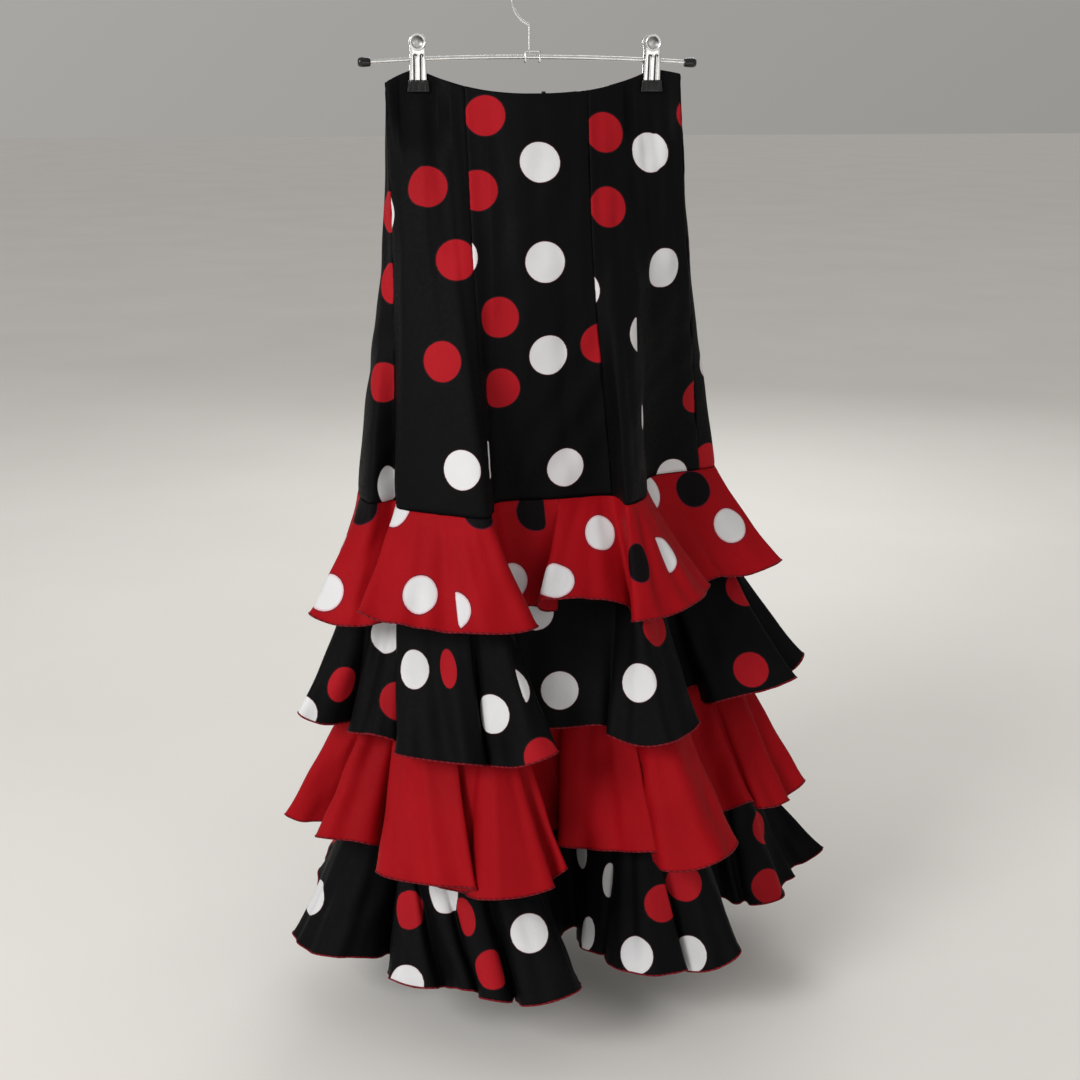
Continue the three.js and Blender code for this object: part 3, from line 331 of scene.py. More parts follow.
# The creases run down the folds: the place on the body's folds and the share of the
# depth where each starts, the same where it ends, its half width and its depth
# (ridges are < 0), which all tiers take times CREASE_DEPTH.
CREASE_DEPTH = 1.9
TIER_CREASES = {
    "ruffle_1": [
        (-1.2, 0, -1.25, 0.8, 8, 1.9), (-0.75, 0.15, -0.7, 1, 9, -2.0), (1.05, 0, 0.95, 0.85, 7, 1.8),
        (1.5, 0.1, 1.45, 1, 8, -2.2), (1.95, 0, 2.0, 1, 7, 2.6), (2.35, 0.05, 2.45, 1, 6, -2.0),
        (2.8, 0, 2.75, 0.9, 7, 1.7), (5.1, 0, 5.2, 1, 6, 1.6), (6.45, 0, 6.4, 0.7, 7, 1.8),
        (6.7, 0.2, 6.8, 1, 8, -2.1), (8.5, 0, 8.4, 0.9, 6, 2.2), (8.9, 0.1, 8.95, 1, 7, -1.9),
        (9.2, 0, 9.15, 0.8, 6, 1.5), (11.4, 0, 11.3, 0.9, 9, 2.4), (12.0, 0.1, 12.2, 1, 8, -2.0),
        (12.5, 0, 12.6, 0.8, 6, 1.6), (13.8, 0, 13.9, 1, 8, 2.0), (15.3, 0.1, 15.2, 1, 9, -2.2),
        (15.7, 0, 15.75, 0.8, 7, 1.8), (16.9, 0, 16.8, 1, 8, 2.3), (18.4, 0.1, 18.5, 0.9, 9, -2.0),
        (18.9, 0, 18.8, 1, 7, 1.7), (20.2, 0, 20.3, 0.9, 9, 2.1)],
    "ruffle_2": [
        (-1.35, 0, -1.3, 0.9, 7, 2.0), (-0.2, 0, -0.25, 1, 8, 2.1), (0.15, 0.2, 0.1, 1, 7, -2.0),
        (1.3, 0, 1.25, 1, 7, -1.9), (1.7, 0, 1.75, 0.9, 8, 2.4), (2.1, 0.1, 2.05, 1, 6, -1.8),
        (3.0, 0, 3.05, 0.8, 6, 1.9), (3.4, 0.1, 3.35, 1, 7, -2.2), (6.2, 0, 6.25, 1, 6, 1.6),
        (7.7, 0, 7.6, 0.9, 8, 2.2), (8.2, 0.1, 8.3, 1, 8, -2.1), (8.8, 0, 8.75, 1, 6, 2.0),
        (11.3, 0, 11.2, 0.9, 8, 2.3), (11.9, 0.1, 12.0, 1, 9, -2.0), (13.0, 0, 13.0, 0.8, 5, 1.2),
        (14.2, 0, 14.1, 1, 8, 2.0), (15.4, 0.1, 15.5, 1, 9, -2.3), (16.6, 0, 16.7, 0.9, 8, 2.1),
        (18.1, 0, 18.0, 1, 9, 2.4), (18.6, 0.2, 18.7, 1, 7, -1.8), (19.9, 0, 19.9, 0.9, 8, 2.0)],
    "ruffle_3": [
        (-1.2, 0, -1.25, 0.9, 6, 1.5), (-0.35, 0, -0.3, 1, 8, 2.2), (0.0, 0.2, 0.05, 1, 7, -2.0),
        (1.2, 0, 1.1, 0.9, 8, 2.1), (1.6, 0.1, 1.65, 1, 8, -2.4), (2.7, 0, 2.65, 1, 7, 2.3),
        (3.0, 0.1, 3.05, 1, 7, -2.1), (3.3, 0, 3.35, 0.8, 6, 1.6), (6.2, 0, 6.1, 1, 8, 2.4),
        (6.6, 0.2, 6.7, 1, 7, -2.0), (8.0, 0, 8.1, 0.9, 8, 2.2), (8.5, 0.1, 8.45, 1, 9, -2.3),
        (9.0, 0, 8.95, 0.9, 6, 1.7), (10.8, 0, 10.8, 1, 6, 1.5), (11.8, 0, 11.85, 1, 6, 1.7),
        (14.2, 0, 14.3, 1, 8, 2.1), (15.4, 0.1, 15.3, 1, 9, -2.3), (16.7, 0, 16.8, 0.9, 9, 2.4),
        (18.1, 0, 18.2, 1, 8, 2.0), (18.6, 0.1, 18.5, 1, 8, -2.1), (20.0, 0, 19.9, 0.9, 8, 1.9)],
    "ruffle_4": [
        (-0.9, 0, -0.95, 1, 9, 2.5), (-0.5, 0.1, -0.45, 1, 9, -2.4), (0.8, 0, 0.8, 0.9, 7, 1.8),
        (3.1, 0, 3.05, 1, 7, 2.2), (3.45, 0.1, 3.5, 1, 7, -2.2), (7.0, 0, 7.05, 0.9, 8, 2.4),
        (7.4, 0.1, 7.35, 1, 7, -2.0), (8.5, 0, 8.6, 1, 7, 2.1), (8.95, 0.1, 8.9, 1, 7, -2.0),
        (11.8, 0, 11.8, 0.9, 6, 1.4), (13.2, 0, 13.2, 1, 6, 1.5), (14.2, 0, 14.2, 1, 9, 2.2),
        (15.3, 0.1, 15.4, 1, 9, -2.4), (16.6, 0, 16.5, 0.9, 9, 2.3), (17.0, 0.2, 17.0, 1, 8, -1.9),
        (18.1, 0, 18.2, 1, 9, 2.4), (18.6, 0.1, 18.6, 1, 8, -2.0), (19.9, 0, 20.0, 0.9, 9, 2.0)],
}
# Each fold of a tier: from and to on the body's folds, left and right hem corners,
# bulge of the hem between them, the valley behind it, and its own cut depth or None.
TIERS = [
    {"name": "ruffle_1", "seam": FIRST_SEAM + 0.3, "length": 122, "flat": (2.0, 0.128), "area": 0.191,
     "folds": [
        (-1.4, -0.3, (-257, -64), (-186, -92), 6, (-172, -84), 133),
        (0.7, 3.2, (-206, -122), (-27, -166), 16, (-44, -94), 122),
        (4.7, 5.9, (-38, -72), (2, -74), 2, (10, -70), 116),
        (6.2, 7.1, (-20, -118), (82, -112), 10, (86, -106), 122),
        (8, 9.4, (80, -148), (178, -62), 16, (166, -24), 124),
        (10.8, 12.9, (192, -14), (286, 22), -2, (246, 66), 134),
        (13.4, 14.6, (264, 104), (204, 184), 12, (164, 158), None),
        (14.9, 16, (146, 200), (62, 218), 12, (40, 172), None),
        (16.4, 17.6, (14, 218), (-62, 198), 10, (-78, 154), None),
        (17.9, 19.2, (-108, 200), (-178, 172), 12, (-178, 132), None),
        (19.6, 21, (-208, 126), (-234, 34), 6, (-216, -4), None),
    ]},
    {"name": "ruffle_2", "seam": 623, "length": 166, "flat": (2.3, 0.172), "area": 0.285,
     "folds": [
        (-1.6, -0.9, (-273, -50), (-234, -48), 3, (-212, -30), 168),
        (-0.6, 0.4, (-219, -62), (-172, -112), 10, (-163, -100), 172),
        (0.9, 2.4, (-172, -138), (-80, -172), 8, (-84, -132), 177),
        (2.7, 3.7, (-71, -164), (-6, -180), 20, (-24, -96), 175),
        (5.6, 6.9, (-13, -100), (52, -112), -2, (60, -106), 166),
        (7.2, 9.2, (56, -132), (155, -126), 30, (148, -80), 174),
        (9.9, 10.4, (165, -14), (186, -10), 0, (188, -4), 162),
        (10.8, 12.4, (188, -46), (292, -34), 4, (272, -6), 188),
        (12.7, 13.3, (291, -2), (314, 6), 2, (264, 86), 178),
        (13.8, 14.6, (268, 140), (222, 200), 10, (180, 160), None),
        (14.9, 15.8, (164, 216), (90, 240), 12, (64, 184), None),
        (16.2, 17.2, (38, 242), (-44, 224), 12, (-58, 164), None),
        (17.6, 19, (-94, 222), (-172, 198), 12, (-176, 140), None),
        (19.4, 20.4, (-212, 148), (-244, 64), 6, (-220, 24), None),
    ]},
    {"name": "ruffle_3", "seam": 748, "length": 184, "flat": (2.5, 0.19), "area": 0.342,
     "folds": [
        (-1.5, -1, (-296, -8), (-258, -16), 2, (-240, -10), 182),
        (-0.7, 0.3, (-260, -74), (-189, -78), 18, (-182, -64), 178),
        (0.8, 2.2, (-193, -150), (-92, -196), 4, (-132, -150), 192),
        (2.4, 3.5, (-122, -144), (-16, -205), 34, (-14, -174), 194),
        (3.7, 4, (-8, -180), (1, -188), 0, (-4, -84), 186),
        (4.6, 5.3, (7, -60), (17, -52), 0, (16, -64), 178),
        (5.7, 7.1, (10, -92), (108, -158), -4, (104, -138), 184),
        (7.6, 9.2, (113, -172), (196, -156), 22, (178, -94), 194),
        (10.4, 11.2, (197, -62), (236, -70), 2, (240, -58), 188),
        (11.4, 12.3, (244, -74), (281, -62), 4, (276, -48), 198),
        (12.6, 13.1, (284, -42), (310, -28), 2, (278, 62), 194),
        (13.8, 14.6, (288, 152), (234, 216), 10, (190, 168), None),
        (14.9, 15.8, (172, 234), (96, 260), 12, (68, 194), None),
        (16.2, 17.2, (38, 264), (-50, 244), 12, (-62, 182), None),
        (17.6, 19, (-100, 238), (-186, 212), 12, (-188, 150), None),
        (19.4, 20.4, (-226, 160), (-256, 84), 6, (-232, 40), None),
    ]},
    {"name": "ruffle_4", "seam": LAST_SEAM, "length": 186, "flat": (2.8, 0.19), "area": 0.379,
     "folds": [
        (-1.3, -0.1, (-289, -22), (-206, -80), 30, (-182, -52), 188),
        (0.5, 1.1, (-183, -150), (-138, -166), 6, (-127, -148), 192),
        (1.4, 1.7, (-115, -178), (-96, -186), 2, (-92, -172), 190),
        (2, 2.4, (-89, -198), (-63, -206), 4, (-51, -170), 192),
        (2.8, 3.8, (-44, -212), (20, -168), 26, (4, -80), 190),
        (4.6, 5.2, (16, -46), (38, -24), 0, (40, -46), None),
        (5.8, 6.4, (36, -70), (58, -96), 3, (63, -90), None),
        (6.7, 7.8, (62, -126), (147, -152), 22, (120, -130), None),
        (8.1, 9.3, (129, -120), (203, -158), 18, (192, -40), 190),
        (10.7, 11.2, (226, 18), (241, -10), 2, (249, 0), None),
        (11.5, 12.1, (260, -20), (298, -14), 4, (300, 10), None),
        (12.4, 12.7, (308, 28), (326, 30), 2, (318, 46), None),
        (13, 13.4, (334, 64), (366, 46), 0, (304, 122), 194),
        (13.8, 14.6, (318, 178), (258, 240), 10, (208, 182), None),
        (14.9, 15.8, (186, 258), (102, 288), 12, (74, 210), None),
        (16.2, 17.2, (40, 292), (-56, 272), 12, (-66, 190), None),
        (17.6, 19, (-110, 264), (-200, 236), 12, (-198, 166), None),
        (19.4, 20.4, (-236, 176), (-262, 92), 6, (-238, 40), None),
    ]},
]


def hem_controls(tier):
    """Place on the body, hem point and cut depth of each fold's corners, crest and valley."""
    rows, out = tier["folds"], []
    for k, (start, end, left, right, bulge, valley, cut) in enumerate(rows):
        after = rows[(k + 1) % len(rows)]
        next_start = after[0] + (AROUND if k + 1 == len(rows) else 0)
        along = np.subtract(right, left)
        crest = np.add(left, right) / 2 + bulge * np.array([along[1], -along[0]]) / np.hypot(*along)
        cut, next_cut = cut or tier["length"], after[-1] or tier["length"]
        out += [(start, left, cut), ((start + end) / 2, tuple(crest), cut), (end, right, cut),
                ((end + next_start) / 2, valley, (cut + next_cut) / 2)]
    return out


def section(grid, z):
    """Outline of a closed grid at height z; a grid that starts just below gives its top."""
    top = grid[:, 0, 2]
    level = np.minimum(z, top - 1e-6)
    row = (grid[..., 2] >= level[:, None]).sum(1)
    if z > top.max() + EDGE_REACH or row.max() == grid.shape[1]:
        return None
    n = np.arange(len(grid))
    a, b = grid[n, row - 1], grid[n, row]
    t = (a[:, 2] - level) / np.maximum(a[:, 2] - b[:, 2], 1e-9)
    return (a + (b - a) * t[:, None])[:, :2]


def push_clear(points, outline, gap):
    """Moves points (n, 2) that lie inside an outline, or nearer than gap, to gap outside it."""
    a, b = outline, np.roll(outline, -1, 0)
    ab = b - a
    t = np.clip(((points[:, None] - a) * ab).sum(2) / np.maximum((ab**2).sum(1), 1e-9), 0, 1)
    off = points[:, None] - (a + t[..., None] * ab)
    far = np.hypot(off[..., 0], off[..., 1])
    k, n = far.argmin(1), np.arange(len(points))
    x, y = points[:, :1], points[:, 1:]
    rise = np.where(np.abs(ab[:, 1]) < 1e-9, 1e-9, ab[:, 1])
    crosses = ((a[:, 1] > y) != (b[:, 1] > y)) & (x < a[:, 0] + (y - a[:, 1]) * ab[:, 0] / rise)
    inside = crosses.sum(1) % 2 == 1
    edge = ab[k] / np.maximum(np.linalg.norm(ab[k], axis=1, keepdims=True), 1e-9)
    out = np.column_stack([edge[:, 1], -edge[:, 0]])
    away = off[n, k] / np.maximum(far[n, k], 1e-9)[:, None]
    way = np.where((inside | (far[n, k] < 1e-6))[:, None], out, away)
    moved = points - off[n, k] + way * gap
    return np.where((inside | (far[n, k] < gap))[:, None], moved, points)


def clear_of(grid, layer, gap):
    """The grid, moved out of the layer that it covers."""
    flat = grid.reshape(-1, 3).copy()
    level = np.round(flat[:, 2] / LEVEL_STEP).astype(int)
    for k in np.unique(level):
        outline = section(layer, k * LEVEL_STEP)
        if outline is not None:
            some = level == k
            flat[some, :2] = push_clear(flat[some, :2], outline, gap)
    return flat.reshape(grid.shape)


def smooth_round(values, width):
    """Running mean of a closed row of values, over `width` of them each side."""
    kernel = np.hanning(2 * width + 3)[1:-1]
    kernel /= kernel.sum()
    padded = np.concatenate([values[-width:], values, values[:width]])
    return np.stack([np.convolve(padded[:, c], kernel, "valid") for c in range(values.shape[1])], 1)


def hem_columns(tier):
    """Place on the body, hem point and cut depth of each column of a tier, and the hem's length."""
    controls = hem_controls(tier)
    count = len(controls)
    points = [c[1] for c in controls]
    coarse = closed_curve(points, np.linspace(0, count, 40 * count, endpoint=False))
    gaps = np.linalg.norm(np.diff(np.concatenate([coarse, coarse[:1]]), axis=0), axis=1)
    run = np.concatenate([[0], gaps.cumsum()])
    columns = int(run[-1] / HEM_STEP)
    even = np.linspace(0, run[-1], columns, endpoint=False)
    places = np.interp(even, run, np.linspace(0, count, len(run)))

    ats = np.array([c[0] for c in controls] + [controls[0][0] + AROUND])
    cuts = np.array([c[2] for c in controls] + [controls[0][2]], float)
    raw = np.column_stack([np.interp(places, np.arange(count + 1), ats) - places * AROUND / count,
                           np.interp(places, np.arange(count + 1), cuts)])
    raw = smooth_round(raw, max(1, int(CUT_SMOOTH * columns / count)))
    return raw[:, 0] + places * AROUND / count, closed_curve(points, places), raw[:, 1], run[-1]


def tier_lift(name, at, share, across, down, hem_round, seed):
    """How far a tier's cloth stands out of its smooth form: gathers, flutes, creases, hem."""
    s = np.linspace(0, hem_round, len(at), endpoint=False)[:, None]
    reach_down = down / down[:, -1:]

    def wave(kind, place, k):
        height, period, spread, number = kind
        return height * waves(place, hem_round, seed + k, period, spread, number)

    run = GATHER_LENGTH + GATHER_UNEVEN * waves(s, hem_round, seed + 5, GATHER_PERIOD)
    lift = wave(GATHERS, s, 1) * np.exp(-down / run) * np.clip(down / GATHER_START, 0, 1)
    lift += wave(FLUTES, s + FLUTE_SWING * np.sin(reach_down * 3), 2) * reach_down**FLUTE_POWER
    lift += wave(RIPPLES, s, 3) * reach_down**RIPPLE_POWER
    lift += wave(SWAY, s + down * SWAY_SLANT, 4) * np.clip(reach_down * 4, 0, 1)

    deeper, wider = 0.45 + 0.55 * share, 0.6 + 0.6 * share  # creases grow towards the hem
    round_ = across[-1]
    for at0, t0, at1, t1, width, height in TIER_CREASES[name]:
        t = np.clip((share - t0) / (t1 - t0), -0.3, 1.3)
        place = (at0 + (at1 - at0) * t - at[0]) % AROUND + at[0]
        middle = np.array([np.interp(place[j], at, across[:-1, j]) for j in range(len(share))])
        away = (across[:-1] - middle + round_ / 2) % round_ - round_ / 2
        fade = np.clip((t + 0.3) / 0.45, 0, 1) * (np.clip((1.3 - t) / 0.45, 0, 1) if t1 < 1 else 1)
        lift -= CREASE_DEPTH * height * fade * deeper * bell(away / width, wider)
    lift -= TIER_SEAM_DIP * bell(down, TIER_SEAM_WIDTH)
    uneven = np.random.default_rng(seed).uniform(0.7, 1)
    return lift + HEM_CURL * uneven * np.clip(reach_down * 12 - 11, 0, 1) ** 2


def tier_grid(tier, layers, seed):
    """Outer face of a tier, clear of the layers under it, and its columns' places on the body."""
    at, hem, cut, hem_round = hem_columns(tier)
    start = body_at(at, np.full(len(at), float(tier["seam"])))[:, :2]
    reach = np.minimum(np.hypot(*(hem - start).T), cut * FARTHEST)
    drop = np.sqrt(cut**2 - reach**2)

    share = np.unique(np.concatenate([np.linspace(0, 1, TIER_ROWS), TIER_EDGE_ROWS]))
    out = share * (1 - FLARE_EASE * (1 - share))
    grid = np.empty((len(at), len(share), 3))
    grid[..., :2] = start[:, None] + (hem - start)[:, None] * out[None, :, None]
    grid[..., 2] = -tier["seam"] - share * drop[:, None]

    lift = tier_lift(tier["name"], at, share, *lengths(grid, True), hem_round, seed)
    grid = grid + normals(grid, True) * lift[..., None]
    top = grid[:, 0, 2].copy()
    for _ in range(2):
        for layer, gap in layers:
            grid = clear_of(grid, layer, gap)
        grid[:, 1:] = (np.roll(grid, 1, 0) + 2 * grid + np.roll(grid, -1, 0))[:, 1:] / 4
    for layer, gap in layers:
        grid = clear_of(grid, layer, gap)
    grid[:, 0, 2] = top
    return grid, at


# ---------------------------------------------------------------- print
DOT = 20.7  # radius of a polka dot
REPEAT = (120.0, 211.0)  # the print's repeat, across and down
REPEAT_DOTS = [("red", 0, 0), ("red", 4, 78), ("white", 58, 46), ("white", 62, 150)]
CUT_FREE = 30.0
WHOLE = (-CUT_FREE, CUT_FREE)  # a part of the circle that leaves all of it
# Dots from the photograph: a place in its pixels, how far the whole circle's
# centre lies right of it (mm), the part of the circle that a joining seam or a fold
# leaves (mm from the centre), and how much narrower a dot shows where cloth turns away.
CHART = {
    "gore_back_side_left": [
        ("red", 390, 210), ("red", 392, 283), ("red", 384, 382), ("white", 386, 487, 3, *WHOLE, 0.62)],
    "gore_front_side_left": [
        ("white", 381, 214), ("red", 428, 188), ("red", 457, 262), ("red", 442, 363), ("white", 462, 469)],
    "gore_front_centre": [
        ("white", 459, 259), ("red", 486, 116), ("white", 541, 160), ("red", 478, 190), ("white", 545, 261),
        ("red", 501, 318), ("white", 551, 357), ("red", 501, 389), ("white", 494, 459, -13),
        ("white", 565, 469), ("red", 600, 342)],
    "gore_front_side_right": [
        ("red", 605, 130), ("red", 609, 207), ("white", 581, 290), ("white", 652, 154), ("white", 665, 270),
        ("white", 637, 335, 11.5, -CUT_FREE, -9.5), ("white", 644, 418, -15.5, 13.7), ("red", 699, 395),
        ("white", 672, 477), ("red", 696, 112)],
    "gore_back_side_right": [("red", 708, 460), ("white", 716, 360)],
    "ruffle_1": [
        ("black", 364, 506), ("white", 328, 591), ("white", 403, 512, -10), ("black", 480, 508, 7),
        ("white", 420, 593, 0, *WHOLE, 0.88), ("white", 462, 611, -12, 5.8), ("white", 526, 579, -17),
        ("black", 536, 511, 0, -CUT_FREE, 9), ("white", 601, 533, 0, *WHOLE, 0.8), ("white", 555, 582),
        ("black", 641, 564, 0, *WHOLE, 0.7), ("white", 668, 554, -9, -1), ("white", 655, 487, -13),
        ("black", 695, 489), ("white", 732, 525)],
    "ruffle_2": [
        ("white", 300, 713), ("red", 344, 684, 0, *WHOLE, 0.8), ("white", 384, 636, 7),
        ("red", 388, 699, 12), ("white", 416, 667, 0, *WHOLE, 0.8), ("red", 450, 668, 0, *WHOLE, 0.5),
        ("white", 493, 714), ("white", 524, 685, -14, 9), ("white", 533, 612), ("red", 545, 758),
        ("white", 560, 690), ("white", 640, 683), ("red", 657, 628), ("red", 744, 590), ("red", 753, 669)],
    "ruffle_4": [
        ("white", 318, 897), ("red", 411, 908), ("white", 447, 892), ("red", 466, 915, 0, *WHOLE, 0.6),
        ("white", 405, 984), ("red", 495, 970), ("white", 529, 931), ("white", 610, 882, 0, *WHOLE, 0.4),
        ("red", 664, 905), ("red", 686, 885), ("white", 639, 955), ("white", 693, 953), ("red", 768, 828),
        ("red", 770, 888), ("white", 587, 935, 0, *WHOLE, 0.45), ("white", 582, 852, 0, *WHOLE, 0.6)],
}
# Cloth that the photograph doesn't show takes the repeat: first and last place on
# the body's folds, and where the repeat starts on each piece.
UNSEEN = {
    "gore_back_side_right": (12.6, 15, 30, 20), "gore_back_right": (15, 17, 75, 66),
    "gore_back_left": (17, 19, 84, 10), "gore_back_side_left": (19, 21.4, 48, 120),
    "ruffle_1": (13.3, 21.2, 20, 30), "ruffle_2": (13.6, 21.2, 66, 40),
    "ruffle_4": (13.7, 19.6, 10, 90),
}
FAR = 400.0  # farther than any dot's edge
BEHIND = 13.8  # the place on the body's folds from which a tier hangs behind the skirt
LAYER = 15  # cloth this much nearer to the camera is another layer
CLOSE_PX, CLOSE = 4, 3  # a place found this near, in pixels and in mm, is the place itself
CLEAR = 2.1  # how near a charted dot a dot of the repeat may lie, in radii


def dot_fields(name, grid, places, closed):
    """Distance over the cloth from the nearest dot of each colour, (columns, rows)."""
    across, down = lengths(grid, closed)
    columns, rows = grid.shape[:2]
    fields = {c: np.full((columns, rows), FAR) for c in ("red", "white", "black")}

    step, fall = steps(grid, closed), np.gradient(grid, axis=1)
    sides = np.linalg.norm(step, axis=2) * np.linalg.norm(fall, axis=2)
    slant = (step * fall).sum(2) / np.maximum(sides, 1e-9)  # cosine between row and column

    def stamp(colour, i, j, dx, dy, low=-FAR, high=FAR, narrow=1.0):
        ds = across[:columns] - across[i]
        if closed:
            turn = across[-1]
            ds = (ds + turn / 2) % turn - turn / 2
        near = (np.abs(ds) < 4 * DOT) & (np.abs(ds[:, j][:, None]) < 4 * DOT)
        ds = (ds + ds[:, j][:, None]) / 2 - dx
        dv = down - down[:, j][:, None] - dy
        wide = ds / narrow
        far = np.sqrt(np.maximum(wide**2 + dv**2 + ds * dv * (slant + slant[i, j]), 0))
        far = np.maximum(far, DOT + np.maximum(low - ds, ds - high) * 2)
        fields[colour] = np.where(near, np.minimum(fields[colour], far), fields[colour])

    picture, depth = project(grid)
    facing = (normals(grid, closed) * (np.array(CAMERA["at"]) - grid)).sum(2) > 0
    if closed:
        facing &= (places < BEHIND)[:, None]
    for colour, x, y, *part in CHART.get(name, ()):
        off = np.hypot(picture[..., 0] - x, picture[..., 1] - y) + np.where(facing, 0, 1e4)
        front = depth[off <= off.min() + CLOSE_PX].min()
        i, j = np.unravel_index(np.where(depth < front + LAYER, off, np.inf).argmin(), off.shape)
        dx, dy = (x - picture[i, j, 0]) * MM_PER_PX, (y - picture[i, j, 1]) * MM_PER_PX
        if np.hypot(dx, dy) < CLOSE:
            dx = dy = 0
        stamp(colour, i, j, dx + (part[0] if part else 0), dy, *part[1:])
    return fields, across, down, stamp


def repeat_dots(name, places, fields, across, down, stamp, closed):
    """Stamps the repeat on the cloth that the photograph doesn't show."""
    if name not in UNSEEN:
        return
    first, last, x0, y0 = UNSEEN[name]
    chosen = np.nonzero((places >= first) & (places <= last))[0]
    middle = across.shape[1] // 2
    begin, end = across[chosen[0], middle], across[chosen[-1], middle]
    deep = down[:, -1].mean()
    charted = np.minimum.reduce(list(fields.values()))
    for u in range(-1, int((end - begin) / REPEAT[0]) + 2):
        for v in range(-1, int(deep / REPEAT[1]) + 2):
            for colour, dx, dy in REPEAT_DOTS:
                s, d = x0 + u * REPEAT[0] + dx, y0 + v * REPEAT[1] + dy - REPEAT[1]
                past = 0 if closed else DOT  # a gore's dots may run into its seams
                if not (-DOT < d < deep + DOT and -past < s < end - begin + past):
                    continue
                i = int(np.clip(np.searchsorted(across[:, middle], begin + s), 0, down.shape[0] - 1))
                j = int(np.clip(np.searchsorted(down[i], d), 0, down.shape[1] - 1))
                if charted[i, j] < CLEAR * DOT:
                    continue
                if name == "ruffle_1" and colour == "red":
                    colour = "black"
                stamp(colour, i, j, begin + s - across[i, middle], d - down[i, j])


# ---------------------------------------------------------------- materials
BLACK = (0.0026, 0.0026, 0.0031, 1)
RED, RED_REVERSE, RED_INK = (0.32, 0.0034, 0.0072, 1), (0.34, 0.007, 0.012, 1), (0.37, 0.008, 0.014, 1)
BLACK_INK = (0.0032, 0.0026, 0.0034, 1)
WHITE = (0.70, 0.70, 0.71, 1)
BLUSH = (0.72, 0.40, 0.43, 1)  # the edge of a white dot, where the ground shows through
RIM_ON_RED, RIM_ON_BLACK = (0.09, 0.008, 0.025, 1), (0.03, 0.006, 0.008, 1)
HEM_THREAD = (0.19, 0.006, 0.012, 1)
# The first is painted shade, the dark steel painted into the clips' grooves and dishes; the second is dust
# on the PVC.
PAINTED_SHADE_STEEL, DUST = (0.012, 0.012, 0.013, 1), (0.018, 0.0175, 0.017, 1)
RIM_EDGE, INK_EDGE, BLUSH_EDGE = (0.7, 1.5), (-0.25, 0.25), (-2.6, -0.9)  # mm beyond a dot's radius
PRINTED = {"rim": 0.9, "ink": 0.99}  # how much of the ground each covers
SHOWING_THROUGH = {"rim": 0.3, "ink": 0.25}  # the same on the cloth's reverse


class Nodes:
    """A short way to add and link a material's nodes."""

    def __init__(self, name):
        self.material = bpy.data.materials.new(name)
        self.material.use_nodes = True
        self.tree = self.material.node_tree
        self.shader = self.tree.nodes["Principled BSDF"]

    def add(self, kind, settings=None, **inputs):
        """A new node; its inputs by name with _ for a space, or by number as i0, i1."""
        node = self.tree.nodes.new("ShaderNode" + kind)
        for key, value in (settings or {}).items():
            setattr(node, key, value)
        for key, value in inputs.items():
            numbered = key[0] == "i" and key[1:].isdigit()
            self.put(node.inputs[int(key[1:]) if numbered else key.replace("_", " ")], value)
        return node

    def put(self, socket, value):
        if isinstance(value, bpy.types.NodeSocket):
            self.tree.links.new(value, socket)
        else:
            socket.default_value = value

    def shade(self, **inputs):
        """Sets inputs of the shader and gives the material."""
        for key, value in inputs.items():
            self.put(self.shader.inputs[key.replace("_", " ")], value)
        return self.material

    def math(self, operation, a, b=0.0):
        return self.add("Math", {"operation": operation}, i0=a, i1=b).outputs[0]

    def ramp(self, value, low, high, start=0.0, end=1.0, smooth=False):
        kind = {"interpolation_type": "SMOOTHSTEP"} if smooth else {}
        return self.add("MapRange", kind, i0=value, i1=low, i2=high, i3=start, i4=end).outputs[0]

    def within(self, far, edge, share):
        """A share that holds inside a dot and fades out over an edge (mm beyond its radius)."""
        return self.ramp(far, (DOT + edge[0]) * MM, (DOT + edge[1]) * MM, share, 0, True)

    def mix(self, share, a, b, blend="MIX"):
        node = self.add("Mix", {"data_type": "RGBA", "blend_type": blend}, i0=share, i6=a, i7=b)
        return node.outputs[2]

    def toned(self, colour, grey):
        """The colour, made lighter or darker by a grey."""
        tone = self.add("CombineColor", Red=grey, Green=grey, Blue=grey).outputs[0]
        return self.mix(1.0, colour, tone, "MULTIPLY")

    def noise(self, scale, where, detail=2.0, roughness=0.5):
        node = self.add("TexNoise", Vector=where, Scale=scale, Detail=detail, Roughness=roughness)
        return node.outputs["Fac"]

    def stripes(self, direction, where, scale, distortion, detail=2.0):
        kind = {"wave_type": "BANDS", "bands_direction": direction}
        node = self.add("TexWave", kind, Vector=where, Scale=scale, Distortion=distortion, Detail=detail)
        return node.outputs["Fac"]

    def bump(self, height, distance, strength, after=None):
        node = self.add("Bump", Height=height, Distance=distance, Strength=strength)
        if after is not None:
            self.put(node.inputs["Normal"], after)
        return node.outputs["Normal"]

    def field(self, name):
        return self.add("Attribute", {"attribute_name": name}).outputs["Fac"]

    def cloth(self):
        return self.add("UVMap", {"uv_map": "cloth"}).outputs[0]

    def place(self):
        return self.add("TexCoord").outputs["Object"]


